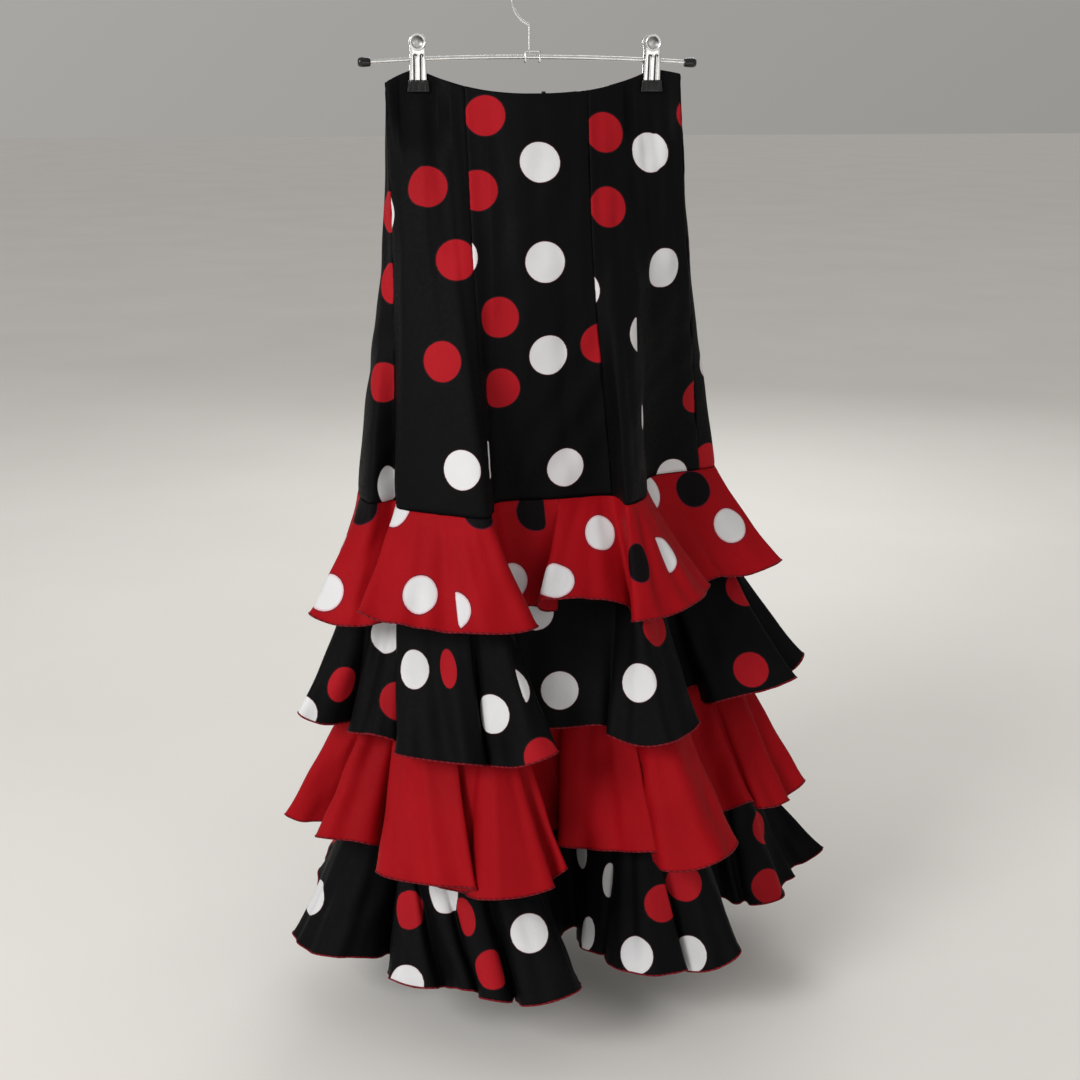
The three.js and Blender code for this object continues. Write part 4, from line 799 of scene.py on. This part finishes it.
def crepe(name, ground, dots=(), cover=PRINTED, blush=0.0):
    """Printed crepe: fine crosswise weave, crinkled yarn, faint sheen, dots with an edge."""
    m = Nodes(name)
    cloth, place = m.cloth(), m.place()
    colour = m.add("RGB").outputs[0]
    colour.default_value = ground
    for field, ink, rim in dots:
        bleed = m.math("MULTIPLY", m.math("SUBTRACT", m.noise(700, place, 1), 0.5), 0.0004)
        far = m.math("ADD", m.field(field), bleed)
        edge, inside = m.within(far, RIM_EDGE, cover["rim"]), m.within(far, INK_EDGE, cover["ink"])
        if ink == WHITE:
            outer = m.ramp(far, (DOT + BLUSH_EDGE[0]) * MM, (DOT + BLUSH_EDGE[1]) * MM, 0, blush, True)
            ink = m.mix(outer, ink, BLUSH)
        colour = m.mix(inside, m.mix(edge, colour, rim), ink)
    cloudy = m.ramp(m.noise(11, place, 3), 0.3, 0.7, 0.9, 1.06)
    yarn = m.ramp(m.noise(1500, cloth, 2), 0.25, 0.75, 0.86, 1.1)
    warp, weft = m.stripes("X", cloth, 560.0, 1.2, 1.0), m.stripes("Y", cloth, 620.0, 1.6, 1.0)
    weave = m.bump(m.math("MULTIPLY", m.math("ADD", warp, weft), 0.5), 0.0002, 0.35)
    crinkle = m.bump(m.noise(760, cloth, 3, 0.65), 0.00035, 0.4, weave)
    rumple = m.bump(m.noise(34, place, 3, 0.55), 0.004, 0.16, crinkle)
    return m.shade(Base_Color=m.toned(colour, m.math("MULTIPLY", cloudy, yarn)), Normal=rumple,
                   Roughness=m.ramp(m.noise(240, cloth), 0.3, 0.7, 0.5, 0.66),
                   Sheen_Weight=0.006, Sheen_Roughness=0.45, Specular_IOR_Level=0.06)


def thread(name, colour, turns):
    """Overlock thread wound along a hem: slanting ridges, with painted shade in the gaps between them."""
    m = Nodes(name)
    cloth = m.cloth()
    wound, fuzz = m.stripes("DIAGONAL", cloth, turns, 0.6), m.noise(900, cloth, 2)
    # painted shade: the colour darkens in the gaps between the thread's turns
    return m.shade(Base_Color=m.toned(colour, m.ramp(wound, 0, 1, 0.5, 1.15)),
                   Normal=m.bump(fuzz, 0.0002, 0.4, m.bump(wound, 0.0005, 0.7)),
                   Roughness=m.ramp(fuzz, 0.3, 0.7, 0.45, 0.65), Specular_IOR_Level=0.12)


def metal(name, colour, roughness, along):
    """Plated steel with drawing marks along one axis, fine scratches and handling marks, and painted shade
    in grooves and dishes.
    """
    m = Nodes(name)
    place = m.place()
    marks = m.noise(1.0, m.add("Mapping", Vector=place, Scale=along).outputs[0], 4, 0.6)
    wear_and_painted_highlight = m.noise(60, place, 3)
    handled = tuple(c * 0.86 for c in colour[:3]) + (1,)
    plated = m.mix(m.ramp(wear_and_painted_highlight, 0.35, 0.75), colour, handled)
    painted_shade = m.field("painted_shade")  # painted shade in the grooves and a painted dark reflection in the dishes
    gloss = m.math("ADD", m.ramp(marks, 0.3, 0.7, roughness - 0.06, roughness + 0.08),
                   m.ramp(wear_and_painted_highlight, 0.55, 0.8, 0, 0.1))
    return m.shade(Base_Color=m.mix(painted_shade, plated, PAINTED_SHADE_STEEL), Metallic=1.0,
                   Roughness=m.math("ADD", gloss, m.math("MULTIPLY", painted_shade, 0.2)),
                   Normal=m.bump(marks, 0.0001, 0.25))


def plastic(name, colour, roughness, coat):
    """Dipped or moulded PVC: faint orange peel, dust in uneven patches."""
    m = Nodes(name)
    place = m.place()
    peel, dust = m.noise(420, place, 3), m.noise(70, place, 4, 0.6)
    return m.shade(Base_Color=m.mix(m.ramp(dust, 0.5, 0.8, 0, 0.35), colour, DUST),
                   Roughness=m.ramp(dust, 0.3, 0.8, roughness, roughness + 0.18),
                   Normal=m.bump(peel, 0.0003, 0.25),
                   Coat_Weight=coat, Coat_Roughness=0.12, Specular_IOR_Level=0.4)


ON_BLACK = [("dots_red", RED_INK, RIM_ON_BLACK), ("dots_white", WHITE, RIM_ON_BLACK)]
ON_RED = [("dots_black", BLACK_INK, RIM_ON_RED), ("dots_white", WHITE, RIM_ON_RED)]
CREPES = {  # right side and reverse
    "black": (crepe("black_crepe", BLACK, ON_BLACK, blush=0.12),
              crepe("black_crepe_reverse", BLACK, ON_BLACK, SHOWING_THROUGH)),
    "red": (crepe("red_crepe", RED, ON_RED, blush=0.75),
            crepe("red_crepe_reverse", RED_REVERSE, ON_RED, SHOWING_THROUGH)),
    "plain": (crepe("plain_red_crepe", RED), crepe("plain_red_crepe_reverse", RED_REVERSE)),
    "base": (crepe("plain_black_crepe", BLACK), crepe("plain_black_crepe_reverse", BLACK)),
}
HEM = thread("hem_thread", HEM_THREAD, 95.0)
STEEL = metal("plated_steel", (0.80, 0.80, 0.79, 1), 0.24, (40, 900, 900))
CLIP_STEEL = metal("pressed_steel", (0.93, 0.93, 0.92, 1), 0.27, (900, 900, 40))
PVC = plastic("black_pvc", (0.0035, 0.0035, 0.0038, 1), 0.15, 0.12)


# ---------------------------------------------------------------- pieces
def mesh_piece(name, vertices, faces, material, uv=None):
    """A smooth mesh in the CAD frame; vertices in millimetres, uv per face corner."""
    mesh = bpy.data.meshes.new(name)
    mesh.from_pydata((np.asarray(vertices) * MM).tolist(), [], faces)
    mesh.shade_smooth()
    if uv is not None:
        layer = mesh.uv_layers.new(name="cloth")
        layer.data.foreach_set("uv", np.asarray(uv, np.float32).ravel())
    for one in (material if isinstance(material, tuple) else (material,)):
        mesh.materials.append(one)
    piece = bpy.data.objects.new(name, mesh)
    bpy.context.scene.collection.objects.link(piece)
    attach(piece, "root")
    return piece


def thickened(piece, name, thickness, inner_material=0):
    solid = piece.modifiers.new(name, "SOLIDIFY")
    solid.thickness, solid.offset, solid.material_offset = thickness * MM, -1, inner_material


def paint(piece, name, values):
    """Stores a value for each vertex, which a material reads."""
    attribute = piece.data.attributes.new(name, "FLOAT", "POINT")
    attribute.data.foreach_set("value", values.ravel().astype(np.float32))


def grid_faces(columns, rows, closed):
    """Quads of a grid and the index of each corner in a grid with one column more."""
    i, j = np.meshgrid(np.arange(columns if closed else columns - 1), np.arange(rows - 1), indexing="ij")
    i, j = i.ravel(), j.ravel()
    corners = np.stack([i * rows + j, i * rows + j + 1, (i + 1) * rows + j + 1, (i + 1) * rows + j], 1)
    return (corners % (columns * rows)).tolist(), corners


def cloth_piece(name, grid, closed, cloth, fields=None):
    """A sheet of cloth on a grid, as thick as CLOTH, with its dots' fields."""
    columns, rows = grid.shape[:2]
    faces, corners = grid_faces(columns, rows, closed)
    across, down = lengths(grid, closed)
    if closed:
        down = np.concatenate([down, down[:1]])
    uv = np.stack([across, down], -1).reshape(-1, 2)[corners.ravel()] * MM
    piece = mesh_piece(name, grid.reshape(-1, 3), faces, CREPES[cloth], uv)
    for field, values in (fields or {}).items():
        paint(piece, "dots_" + field, values * MM)
    thickened(piece, "thickness", CLOTH, 1)
    return piece


def circle(count):
    """Cosines and sines of evenly spaced angles."""
    angle = np.linspace(0, 2 * math.pi, count, endpoint=False)
    return np.cos(angle), np.sin(angle)


def tube(name, path, radius, sides, material, closed=True, across=(0.0, 0.0, 1.0)):
    """A tube along a path (n, 3) in millimetres that is nowhere parallel to `across`;
    radius is one number, or one for each point."""
    path = np.asarray(path, float)
    n = len(path)
    along = steps(path, closed)
    along /= np.maximum(np.linalg.norm(along, axis=1, keepdims=True), 1e-9)
    side = np.cross(along, across)
    side /= np.linalg.norm(side, axis=1, keepdims=True)
    up = np.cross(side, along)
    radius = np.broadcast_to(np.asarray(radius, float), (n,))[:, None, None]
    c, s = circle(sides)
    points = path[:, None] + (c[None, :, None] * side[:, None] + s[None, :, None] * up[:, None]) * radius
    i, j = np.meshgrid(np.arange(n if closed else n - 1), np.arange(sides), indexing="ij")
    i, j = i.ravel(), j.ravel()
    k, i2 = (j + 1) % sides, (i + 1) % n
    faces = np.stack([i * sides + j, i * sides + k, i2 * sides + k, i2 * sides + j], 1).tolist()
    run = np.concatenate([[0], np.linalg.norm(np.diff(path, axis=0), axis=1).cumsum()])
    run = np.append(run, run[-1] + np.linalg.norm(path[0] - path[-1]))
    spin = np.arange(sides + 1) / sides * 2 * math.pi * float(radius.mean())
    corners = ((i, j), (i, j + 1), (i + 1, j + 1), (i + 1, j))
    uv = np.stack([np.stack([run[a], spin[b]], 1) for a, b in corners], 1).reshape(-1, 2) * MM
    if not closed:
        faces += [list(range(sides))[::-1], [(n - 1) * sides + s for s in range(sides)]]
        uv = np.concatenate([uv, np.zeros((2 * sides, 2))])
    return mesh_piece(name, points.reshape(-1, 3), faces, material, uv)


# ---------------------------------------------------------------- the skirt
def printed_piece(name, grid, places, closed, cloth):
    """A piece of cloth with the dots that the photograph shows and the repeat elsewhere."""
    fields, across, down, stamp = dot_fields(name, grid, places, closed)
    repeat_dots(name, places, fields, across, down, stamp, closed)
    piece = cloth_piece(name, grid, closed, cloth, fields)
    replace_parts(piece, name)
    return piece


for name, first, last, flat, area in GORES:
    grid = gore_grid(first, last)
    across, _ = lengths(grid, False)
    places = np.interp(across[:, 0], [0, across[-1, 0]], [first, last])
    gore = printed_piece(name, grid, places, False, "black")

BASE_ROWS, BASE_COLUMNS_PER_FOLD, BASE_TAIL = 24, 10, 7
places = np.linspace(0, AROUND, AROUND * BASE_COLUMNS_PER_FOLD, endpoint=False)
base_downs = np.linspace(FIRST_SEAM + 0.3, LAST_SEAM + BASE_TAIL, BASE_ROWS)
base = body_grid(places, lambda x: np.tile(base_downs, (len(x), 1)))
base = base - normals(base, True) * BASE_INSET
base_piece = cloth_piece("ruffle_base", base, True, "base")
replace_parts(base_piece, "ruffle_base")

TIER_CLOTH = {"ruffle_1": ("red", "red_crepe"), "ruffle_2": ("black", "black_crepe"),
              "ruffle_3": ("plain", "red_crepe"), "ruffle_4": ("black", "black_crepe")}
HEM_RADIUS, HEM_UNEVEN, HEM_SIDES = 1.05, 0.12, 6
covered = None
for number, tier in reversed(list(enumerate(TIERS))):
    layers = [(base, BASE_GAP)] + ([(covered, TIER_GAP)] if covered is not None else [])
    grid, at = tier_grid(tier, layers, 40 + 10 * number)
    name = tier["name"]
    cloth, slot = TIER_CLOTH[name]
    piece = printed_piece(name, grid, at, True, cloth)
    inside = grid[:, -1] - normals(grid, True)[:, -1] * CLOTH / 2
    turns = np.arange(len(inside))
    thick = HEM_RADIUS + HEM_UNEVEN * np.sin(turns * 0.9) * np.sin(turns * 0.37)
    bead = tube(name + "_hem", inside, thick, HEM_SIDES, HEM)
    covered = grid

# ---------------------------------------------------------------- hanger
BAR = {"radius": 2.2, "left": -182, "right": 160, "end": -90.6, "middle": -85.4}
CAP_START = 9.7  # how far a cap's open end lies in from the bar's end
CAP_PROFILE = [(0.2, 2.3), (0, 3.5), (0.25, 4.0), (0.9, 4.3), (2.2, 4.5), (5, 4.75), (8.5, 4.9), (10.8, 4.6),
               (12.1, 3.9), (12.8, 2.7), (13, 1.3), (13, 0.05)]  # along the cap, radius
HOOK = {"wire": 1.5, "bend": 29, "neck": -11, "bottom": -78.8, "tip": -4}
HOOK_END = np.array([0.97, 0.88, 0.68, 0.3])  # the wire's last points, as shares of its thickness
SADDLE = {"x": (-16, 0), "depth": 4.5, "thick": 1.2, "top": -79.1, "bottom": -91, "slot": 2.5,
          "corner": 0.8, "fillet": 0.6}
# From the saddle's end inwards: how far in, how far below its top, and from 0 for the foot to
# 1 for the plate.
SADDLE_STEPS = [(0, 0.9, 0), (0.25, 0.35, 0), (0.9, 0, 0), (1.2, 0, 0), (1.35, 0, 0.6), (1.9, 0, 1)]
RIVET_PROFILE = [(1.9, -80.1), (1.9, -80.9), (1.5, -81.4), (0.8, -81.7)]  # radius, height
CLIP = {"head": 8.5, "head_z": -71, "neck": 7.7, "foot": 8.9, "bottom": -108, "y": 8, "foot_y": 3.95,
        "plate": 1.0, "drawn_in": 0.4, "crest": 0.9, "dished": 2.6, "side_roll": 1.1, "head_roll": 0.5,
        "rib": 0.3}
DISH, RIM = 6.2, 7.3  # radii of the pressed dish and of the crest of its rim
GROOVE = {"x": (-4.0, 2.6), "half": 0.65, "deep": 1.0, "from": -84.5, "curl": 1.15}
TIP = {"top": -107.9, "bottom": -119.3, "half": 10.4, "flare": 1.1, "thick": 2.0, "y": 3.95,
       "rib": 0.75, "swell": 0.35}
SPRING = {"radius": 4.5, "wire": 0.62, "half": 5.0, "turns": 6}


def bar_z(x):
    s = (x - (BAR["left"] + BAR["right"]) / 2) / ((BAR["right"] - BAR["left"]) / 2)
    return BAR["end"] + (BAR["middle"] - BAR["end"]) * (1 - s * s)


def loft(name, sections, material):
    """A closed solid through outlines (n, 3) of the same count, in order, in millimetres."""
    count = len(sections[0])
    faces = [list(range(count))[::-1], [(len(sections) - 1) * count + j for j in range(count)]]
    for i in range(len(sections) - 1):
        for j in range(count):
            a, b = i * count + j, i * count + (j + 1) % count
            faces.append([a, b, b + count, a + count])
    return mesh_piece(name, np.concatenate(sections), faces, material)


def rounded(a, b, count, power=4.0):
    """Points of a rounded rectangle with half sides a and b, (count, 2)."""
    c, s = circle(count)
    x, y = a * np.sign(c) * np.abs(c) ** (2 / power), b * np.sign(s) * np.abs(s) ** (2 / power)
    return np.column_stack([x, y])


def turned(points, back):
    """The same points on the hanger's back."""
    return points * np.array([-1, -1, 1]) if back else points


bar_x = np.linspace(BAR["left"], BAR["right"], 70)
bar_line = np.column_stack([bar_x, 0 * bar_x, bar_z(bar_x)])
bar = tube("hanger_bar_tube", bar_line, BAR["radius"], 28, STEEL, False)
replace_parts(bar, "hanger_bar")

bend = HOOK["bend"]
join = math.pi + math.asin(math.sqrt(bend**2 - HOOK["neck"] ** 2) / bend)
turn = np.linspace(join, math.radians(HOOK["tip"]), 110)
arc = np.column_stack([bend * np.cos(turn), 0 * turn, HOOK["wire"] - bend + bend * np.sin(turn)])
neck_z = np.linspace(HOOK["bottom"], arc[0, 2] - HOOK["wire"], 24)
neck = np.column_stack([np.full_like(neck_z, HOOK["neck"]), 0 * neck_z, neck_z])
wire = np.concatenate([neck, arc])
thick = np.full(len(wire), HOOK["wire"])
thick[-len(HOOK_END):] = HOOK["wire"] * HOOK_END
hook = tube("hanger_hook_wire", wire, thick, 16, STEEL, False, (0.0, 1.0, 0.0))
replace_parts(hook, "hanger_hook")


def saddle_sections():
    """Outlines across the saddle: a slotted foot at each side and a plate between their tops."""
    middle = sum(SADDLE["x"]) / 2
    top, low, deep, slot = SADDLE["top"], SADDLE["bottom"], SADDLE["depth"], SADDLE["slot"]
    cut = SADDLE["corner"]
    angle = np.linspace(math.pi, 0, 17)
    arch = np.column_stack([slot * np.cos(angle), bar_z(middle) + slot * np.sin(angle)])
    foot = np.array([(-deep, top), (-deep, low + cut), (-deep + cut, low), (-slot, low), *arch,
                     (slot, low), (deep - cut, low), (deep, low + cut), (deep, top)])
    sections = []
    for x, drop, plate in SADDLE_STEPS:
        outline = foot.copy()
        outline[:, 1] = np.minimum(outline[:, 1], top - drop)
        if plate:
            outline[:, 1] = np.maximum(outline[:, 1], top - SADDLE["thick"] - (1 - plate) * SADDLE["fillet"])
        sections.append(np.column_stack([np.full(len(outline), SADDLE["x"][0] + x), outline]))
    return sections + [np.column_stack([2 * middle - one[:, 0], one[:, 1:]]) for one in reversed(sections)]


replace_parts(loft("hanger_saddle_bracket", saddle_sections(), CLIP_STEEL), "hanger_saddle")
c, s = circle(20)
rivet = [np.column_stack([HOOK["neck"] + r * c, r * s, np.full(20, z)]) for r, z in RIVET_PROFILE]
loft("hook_rivet", rivet, CLIP_STEEL)

c, s = circle(40)
for side, end, way in (("left", BAR["left"], -1), ("right", BAR["right"], 1)):
    rings = [np.column_stack([np.full(40, end - way * CAP_START + way * x), r * c, BAR["end"] + r * s])
             for x, r in CAP_PROFILE]
    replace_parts(loft(f"cap_{side}_dipped", rings, PVC), f"cap_{side}")


def groove_at(x, z):
    """Depth of the pressed grooves, 0 to 1: each runs down the leg and curls over at its top."""
    deep = np.zeros_like(x)
    for start in GROOVE["x"]:
        lower = z < GROOVE["from"]
        bow = np.abs(np.hypot(x - start - GROOVE["curl"], z - GROOVE["from"]) - GROOVE["curl"])
        off = np.where(lower, np.abs(x - start), bow)
        end = np.abs(x - start - 2 * GROOVE["curl"])
        curled = bell(end, GROOVE["half"]) * np.clip(1 - (GROOVE["from"] - z) / 1.4, 0, 1) * lower
        deep = np.maximum(deep, np.maximum(bell(off, GROOVE["half"]), curled))
    return deep


def leg_grid():
    """Outer face of a front leg, a round dished head over a tapering leg with two grooves,
    and the painted shade at each point: dark grooves and a dark dish with a painted highlight."""
    head, centre = CLIP["head"], CLIP["head_z"]
    phi = np.linspace(0.06, math.pi - math.asin(CLIP["neck"] / head), 34)
    head_z, head_half = centre + head * np.cos(phi), head * np.sin(phi)
    leg_z = np.linspace(head_z[-1], CLIP["bottom"] - 0.5, 84)[1:]
    t = (head_z[-1] - leg_z) / (head_z[-1] - CLIP["bottom"])
    drawn_in = CLIP["drawn_in"] * np.sin(math.pi * np.clip(t * 2.2, 0, 1))
    leg_half = CLIP["neck"] - drawn_in + (CLIP["foot"] - CLIP["neck"]) * t
    z, half = np.concatenate([head_z, leg_z]), np.concatenate([head_half, leg_half])
    u = np.linspace(-1, 1, 69)[:, None]
    x, z = u * half, np.tile(z, (len(u), 1))
    share = np.clip((centre - z) / (centre - CLIP["bottom"]), 0, 1)
    y = -CLIP["y"] + (CLIP["y"] - CLIP["foot_y"]) * share**1.4 - 0.6
    r = np.hypot(x, z - centre)
    dished = CLIP["dished"] * np.clip(1 - (r / DISH) ** 2, 0, 1) ** 0.8
    out = CLIP["crest"] * bell(r - RIM, 0.9) - dished
    side_roll = CLIP["side_roll"] * np.abs(u) ** 10
    head_roll = CLIP["head_roll"] * np.clip((r - 7.6) / 0.9, 0, 1) ** 2
    rolled = np.where(z < centre - 4, side_roll, head_roll)
    groove, rib = groove_at(x, z), CLIP["rib"] * groove_at(x - 1.5, z)
    wear_and_painted_highlight = np.exp(-(((x + 2.2) ** 2 + (z - centre + 2.4) ** 2) / 6.5))  # painted highlight: the dish is left bright, low on one side
    # Painted shade: the dish is painted dark, more so up and to the right, and the grooves darker still.
    dish = np.clip((DISH - r) / 0.9, 0, 1) * (0.62 + 0.3 * np.clip((x + z - centre) / 6, -1, 1))
    painted_shade = np.clip(np.maximum(groove**0.7 * 1.1, dish - 0.9 * wear_and_painted_highlight), 0, 0.97)
    return np.stack([x, y - out + rolled + GROOVE["deep"] * groove - rib, z], -1), painted_shade


def tip_sections():
    """A dipped PVC sleeve on a leg's foot, ribbed as the leg beneath it."""
    rows, around = [], 96
    for t in np.concatenate([[0, 0.02, 0.06], np.linspace(0.12, 0.9, 14), [0.95, 0.985, 1]]):
        from_end = min(t, 1 - t)
        end = min(1.0, (from_end / 0.06 + 0.25)) ** 0.5 if from_end < 0.045 else 1.0
        half = (TIP["half"] + TIP["flare"] * t**1.5) * (0.94 + 0.06 * end)
        x, y = rounded(half, TIP["thick"] * (0.55 + 0.45 * end), around).T
        ribs = sum(TIP["rib"] * bell(x - start, 0.9) for start in GROOVE["x"])
        swell = TIP["swell"] * np.sin(x * 0.95 + 1.2) * (np.abs(x) < 9)
        y = y + np.where(y < -TIP["thick"] * 0.4, (ribs - swell) * (1 - 0.5 * t), 0)
        z = TIP["top"] + (TIP["bottom"] - TIP["top"]) * t
        rows.append(np.column_stack([x, y - TIP["y"], np.full(around, z)]))
    return rows


def spring_path(at):
    """The spring's coil about the bar, with a straight arm at each end."""
    radius, half, height = SPRING["radius"], SPRING["half"], bar_z(at)
    turn = np.linspace(0, 1, 190)
    angle = -math.pi + SPRING["turns"] * 2 * math.pi * turn
    x = at - half + 2 * half * turn
    coil = np.column_stack([x, radius * np.cos(angle), height + radius * np.sin(angle)])
    first, last = [np.array([[x, -radius + 0.9, height - 12], [x, -radius + 0.3, height - 5]])
                   for x in (at - half, at + half)]
    return np.concatenate([first, coil, last[::-1]])


for side, at in CLIP_X.items():
    place = np.array([at, 0, 0])
    for face in ("front", "back"):
        grid, painted_shade = leg_grid()
        grid = turned(grid, face == "back") + place
        faces, _ = grid_faces(*grid.shape[:2], False)
        name = f"clip_{side}_{face}_leg"
        leg = mesh_piece(name + "_pressed", grid.reshape(-1, 3), faces, CLIP_STEEL)
        # The painted shade and painted highlight, which the pressed steel's colour reads.
        paint(leg, "painted_shade", painted_shade)
        thickened(leg, "plate", CLIP["plate"])
        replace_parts(leg, name)
        name = f"clip_{side}_{face}_tip"
        sleeve = [turned(section, face == "back") + place for section in tip_sections()]
        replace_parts(loft(name + "_sleeve", sleeve, PVC), name)
    coil = tube(f"clip_{side}_spring_coil", spring_path(at), SPRING["wire"], 10, CLIP_STEEL,
                False, (1.0, 0.0, 0.0))
    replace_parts(coil, f"clip_{side}_spring")

# The slider of the concealed zip at the centre back, with its drop pull. A profile gives how
# far down (0 to 1) and the width there as a share of the widest.
SLIDER_PROFILE = [(0, 0.5), (0.06, 0.85), (0.3, 1), (0.7, 0.9), (0.94, 0.7), (1, 0.45)]
PULL_PROFILE = [(0, 0.25), (0.05, 0.5), (0.3, 0.6), (0.65, 1), (0.85, 0.95), (0.96, 0.55), (1, 0.2)]


def tapered(profile, half, thick, round_off, power, x, y, top, length):
    """Outlines down a small moulding; round_off thickens its narrow ends."""
    rows, around = [], 28
    for t, width in profile:
        outline = rounded(half * width, thick * min(1, width + round_off), around, power)
        z = np.full(around, top - length * t)
        rows.append(np.column_stack([x + outline[:, 0], y + outline[:, 1], z]))
    return rows


low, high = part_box("back_zip_slider")
low, high = np.array(low) / MM, np.array(high) / MM
centre = (low + high) / 2
slider = tapered(SLIDER_PROFILE, 2.3, 1.0, 0.15, 4.0, centre[0], centre[1] - 0.2, high[2], 5)
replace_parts(loft("zip_slider_body", slider, PVC), "back_zip_slider")
pull = tapered(PULL_PROFILE, 2.1, 0.45, 0.3, 3, centre[0], high[1] + 0.1, high[2] - 1, 8.5)
loft("zip_slider_pull", pull, PVC)

# ---------------------------------------------------------------- stage
FLOOR_DOWN, FLOOR_HALF = 1150, 30  # millimetres below the hook, metres
FLOOR_TONES = (0.81, 0.785, 0.75, 1), (0.85, 0.825, 0.79, 1)
FAR_TONE, FADE, FADED = (0.46, 0.45, 0.435, 1), (2, 14), 0.2  # the floor is painted darker over these metres, as painted shade far from the lights
SKY_TONES = (0.40, 0.385, 0.365, 1), (0.86, 0.85, 0.83, 1)
SKY_WAY, SKY_RANGE = (-0.55, -0.2, 0.6), (-0.7, 0.8)  # brighter above and to the left, as from a window
SKY_STRENGTH = 0.66
SKIRT_MIDDLE = (0, 0, -0.55)
SENSOR = 36.0


def stage_material():
    """A pale, slightly uneven floor, painted darker far from the middle as shade where the light falls off.
    """
    m = Nodes("studio_floor")
    place = m.place()
    pale = m.mix(m.ramp(m.noise(1.6, place, 3), 0.3, 0.7), *FLOOR_TONES)
    away = m.add("VectorMath", {"operation": "LENGTH"}, i0=place).outputs["Value"]
    # painted shade: the floor darkens towards FAR_TONE with distance from the middle
    return m.shade(Base_Color=m.mix(m.ramp(away, *FADE, 0, FADED), pale, FAR_TONE),
                   Normal=m.bump(m.noise(160, place, 3), 0.001, 0.1), Roughness=0.85)


def studio_world():
    world = bpy.data.worlds.new("studio")
    world.use_nodes = True
    nodes, links = world.node_tree.nodes, world.node_tree.links
    towards, shade = nodes.new("ShaderNodeVectorMath"), nodes.new("ShaderNodeMapRange")
    tone, background = nodes.new("ShaderNodeValToRGB"), nodes["Background"]
    towards.operation = "DOT_PRODUCT"
    towards.inputs[1].default_value = SKY_WAY
    shade.inputs[1].default_value, shade.inputs[2].default_value = SKY_RANGE
    for element, colour in zip(tone.color_ramp.elements, SKY_TONES):
        element.color = colour
    links.new(nodes.new("ShaderNodeTexCoord").outputs["Generated"], towards.inputs[0])
    links.new(towards.outputs["Value"], shade.inputs[0])
    links.new(shade.outputs[0], tone.inputs[0])
    links.new(tone.outputs[0], background.inputs["Color"])
    background.inputs["Strength"].default_value = SKY_STRENGTH
    return world


floor_mesh = bpy.data.meshes.new("floor")
corners = [(x * FLOOR_HALF, y * FLOOR_HALF, 0) for x, y in ((-1, -1), (1, -1), (1, 1), (-1, 1))]
floor_mesh.from_pydata(corners, [], [(0, 1, 2, 3)])
floor_mesh.materials.append(stage_material())
floor = bpy.data.objects.new("floor", floor_mesh)
floor.location.z = -FLOOR_DOWN * MM
bpy.context.scene.collection.objects.link(floor)
bpy.context.scene.world = studio_world()
bpy.context.scene.view_settings.view_transform = "Standard"

# Each light: place in metres, its two sides in metres, watts; all face the middle of the skirt.
LIGHTS = [
    ("key_left", (-2.4, -2.1, 1.0), (1.3, 1.3), 72),
    ("fill_right", (2.6, -1.8, 0.2), (2.0, 2.0), 5),
    ("back_rim", (0.8, 2.6, 1.0), (1.6, 1.6), 26),
    ("low_front", (0.55, -3.5, -0.72), (1.9, 0.8), 9),  # what the clips' plates reflect
]
for name, place, sides, watts in LIGHTS:
    lamp = bpy.data.lights.new(name, "AREA")
    lamp.shape, lamp.energy, lamp.size, lamp.size_y = "RECTANGLE", watts, *sides
    light = bpy.data.objects.new(name, lamp)
    light.location = place
    aim = Vector(place) - Vector(SKIRT_MIDDLE)
    light.rotation_euler = aim.to_track_quat("Z", "Y").to_euler()
    bpy.context.scene.collection.objects.link(light)

camera_data = bpy.data.cameras.new("camera")
camera_data.sensor_width = SENSOR
camera_data.lens = SENSOR * CAMERA["focal"] / PICTURE
camera_data.clip_start, camera_data.clip_end = 0.05, 100
camera = bpy.data.objects.new("camera", camera_data)
camera.location = [v * MM for v in CAMERA["at"]]
camera.rotation_euler = (math.radians(90 - CAMERA["pitch"]), 0, math.radians(-CAMERA["yaw"]))
bpy.context.scene.collection.objects.link(camera)
bpy.context.scene.camera = camera
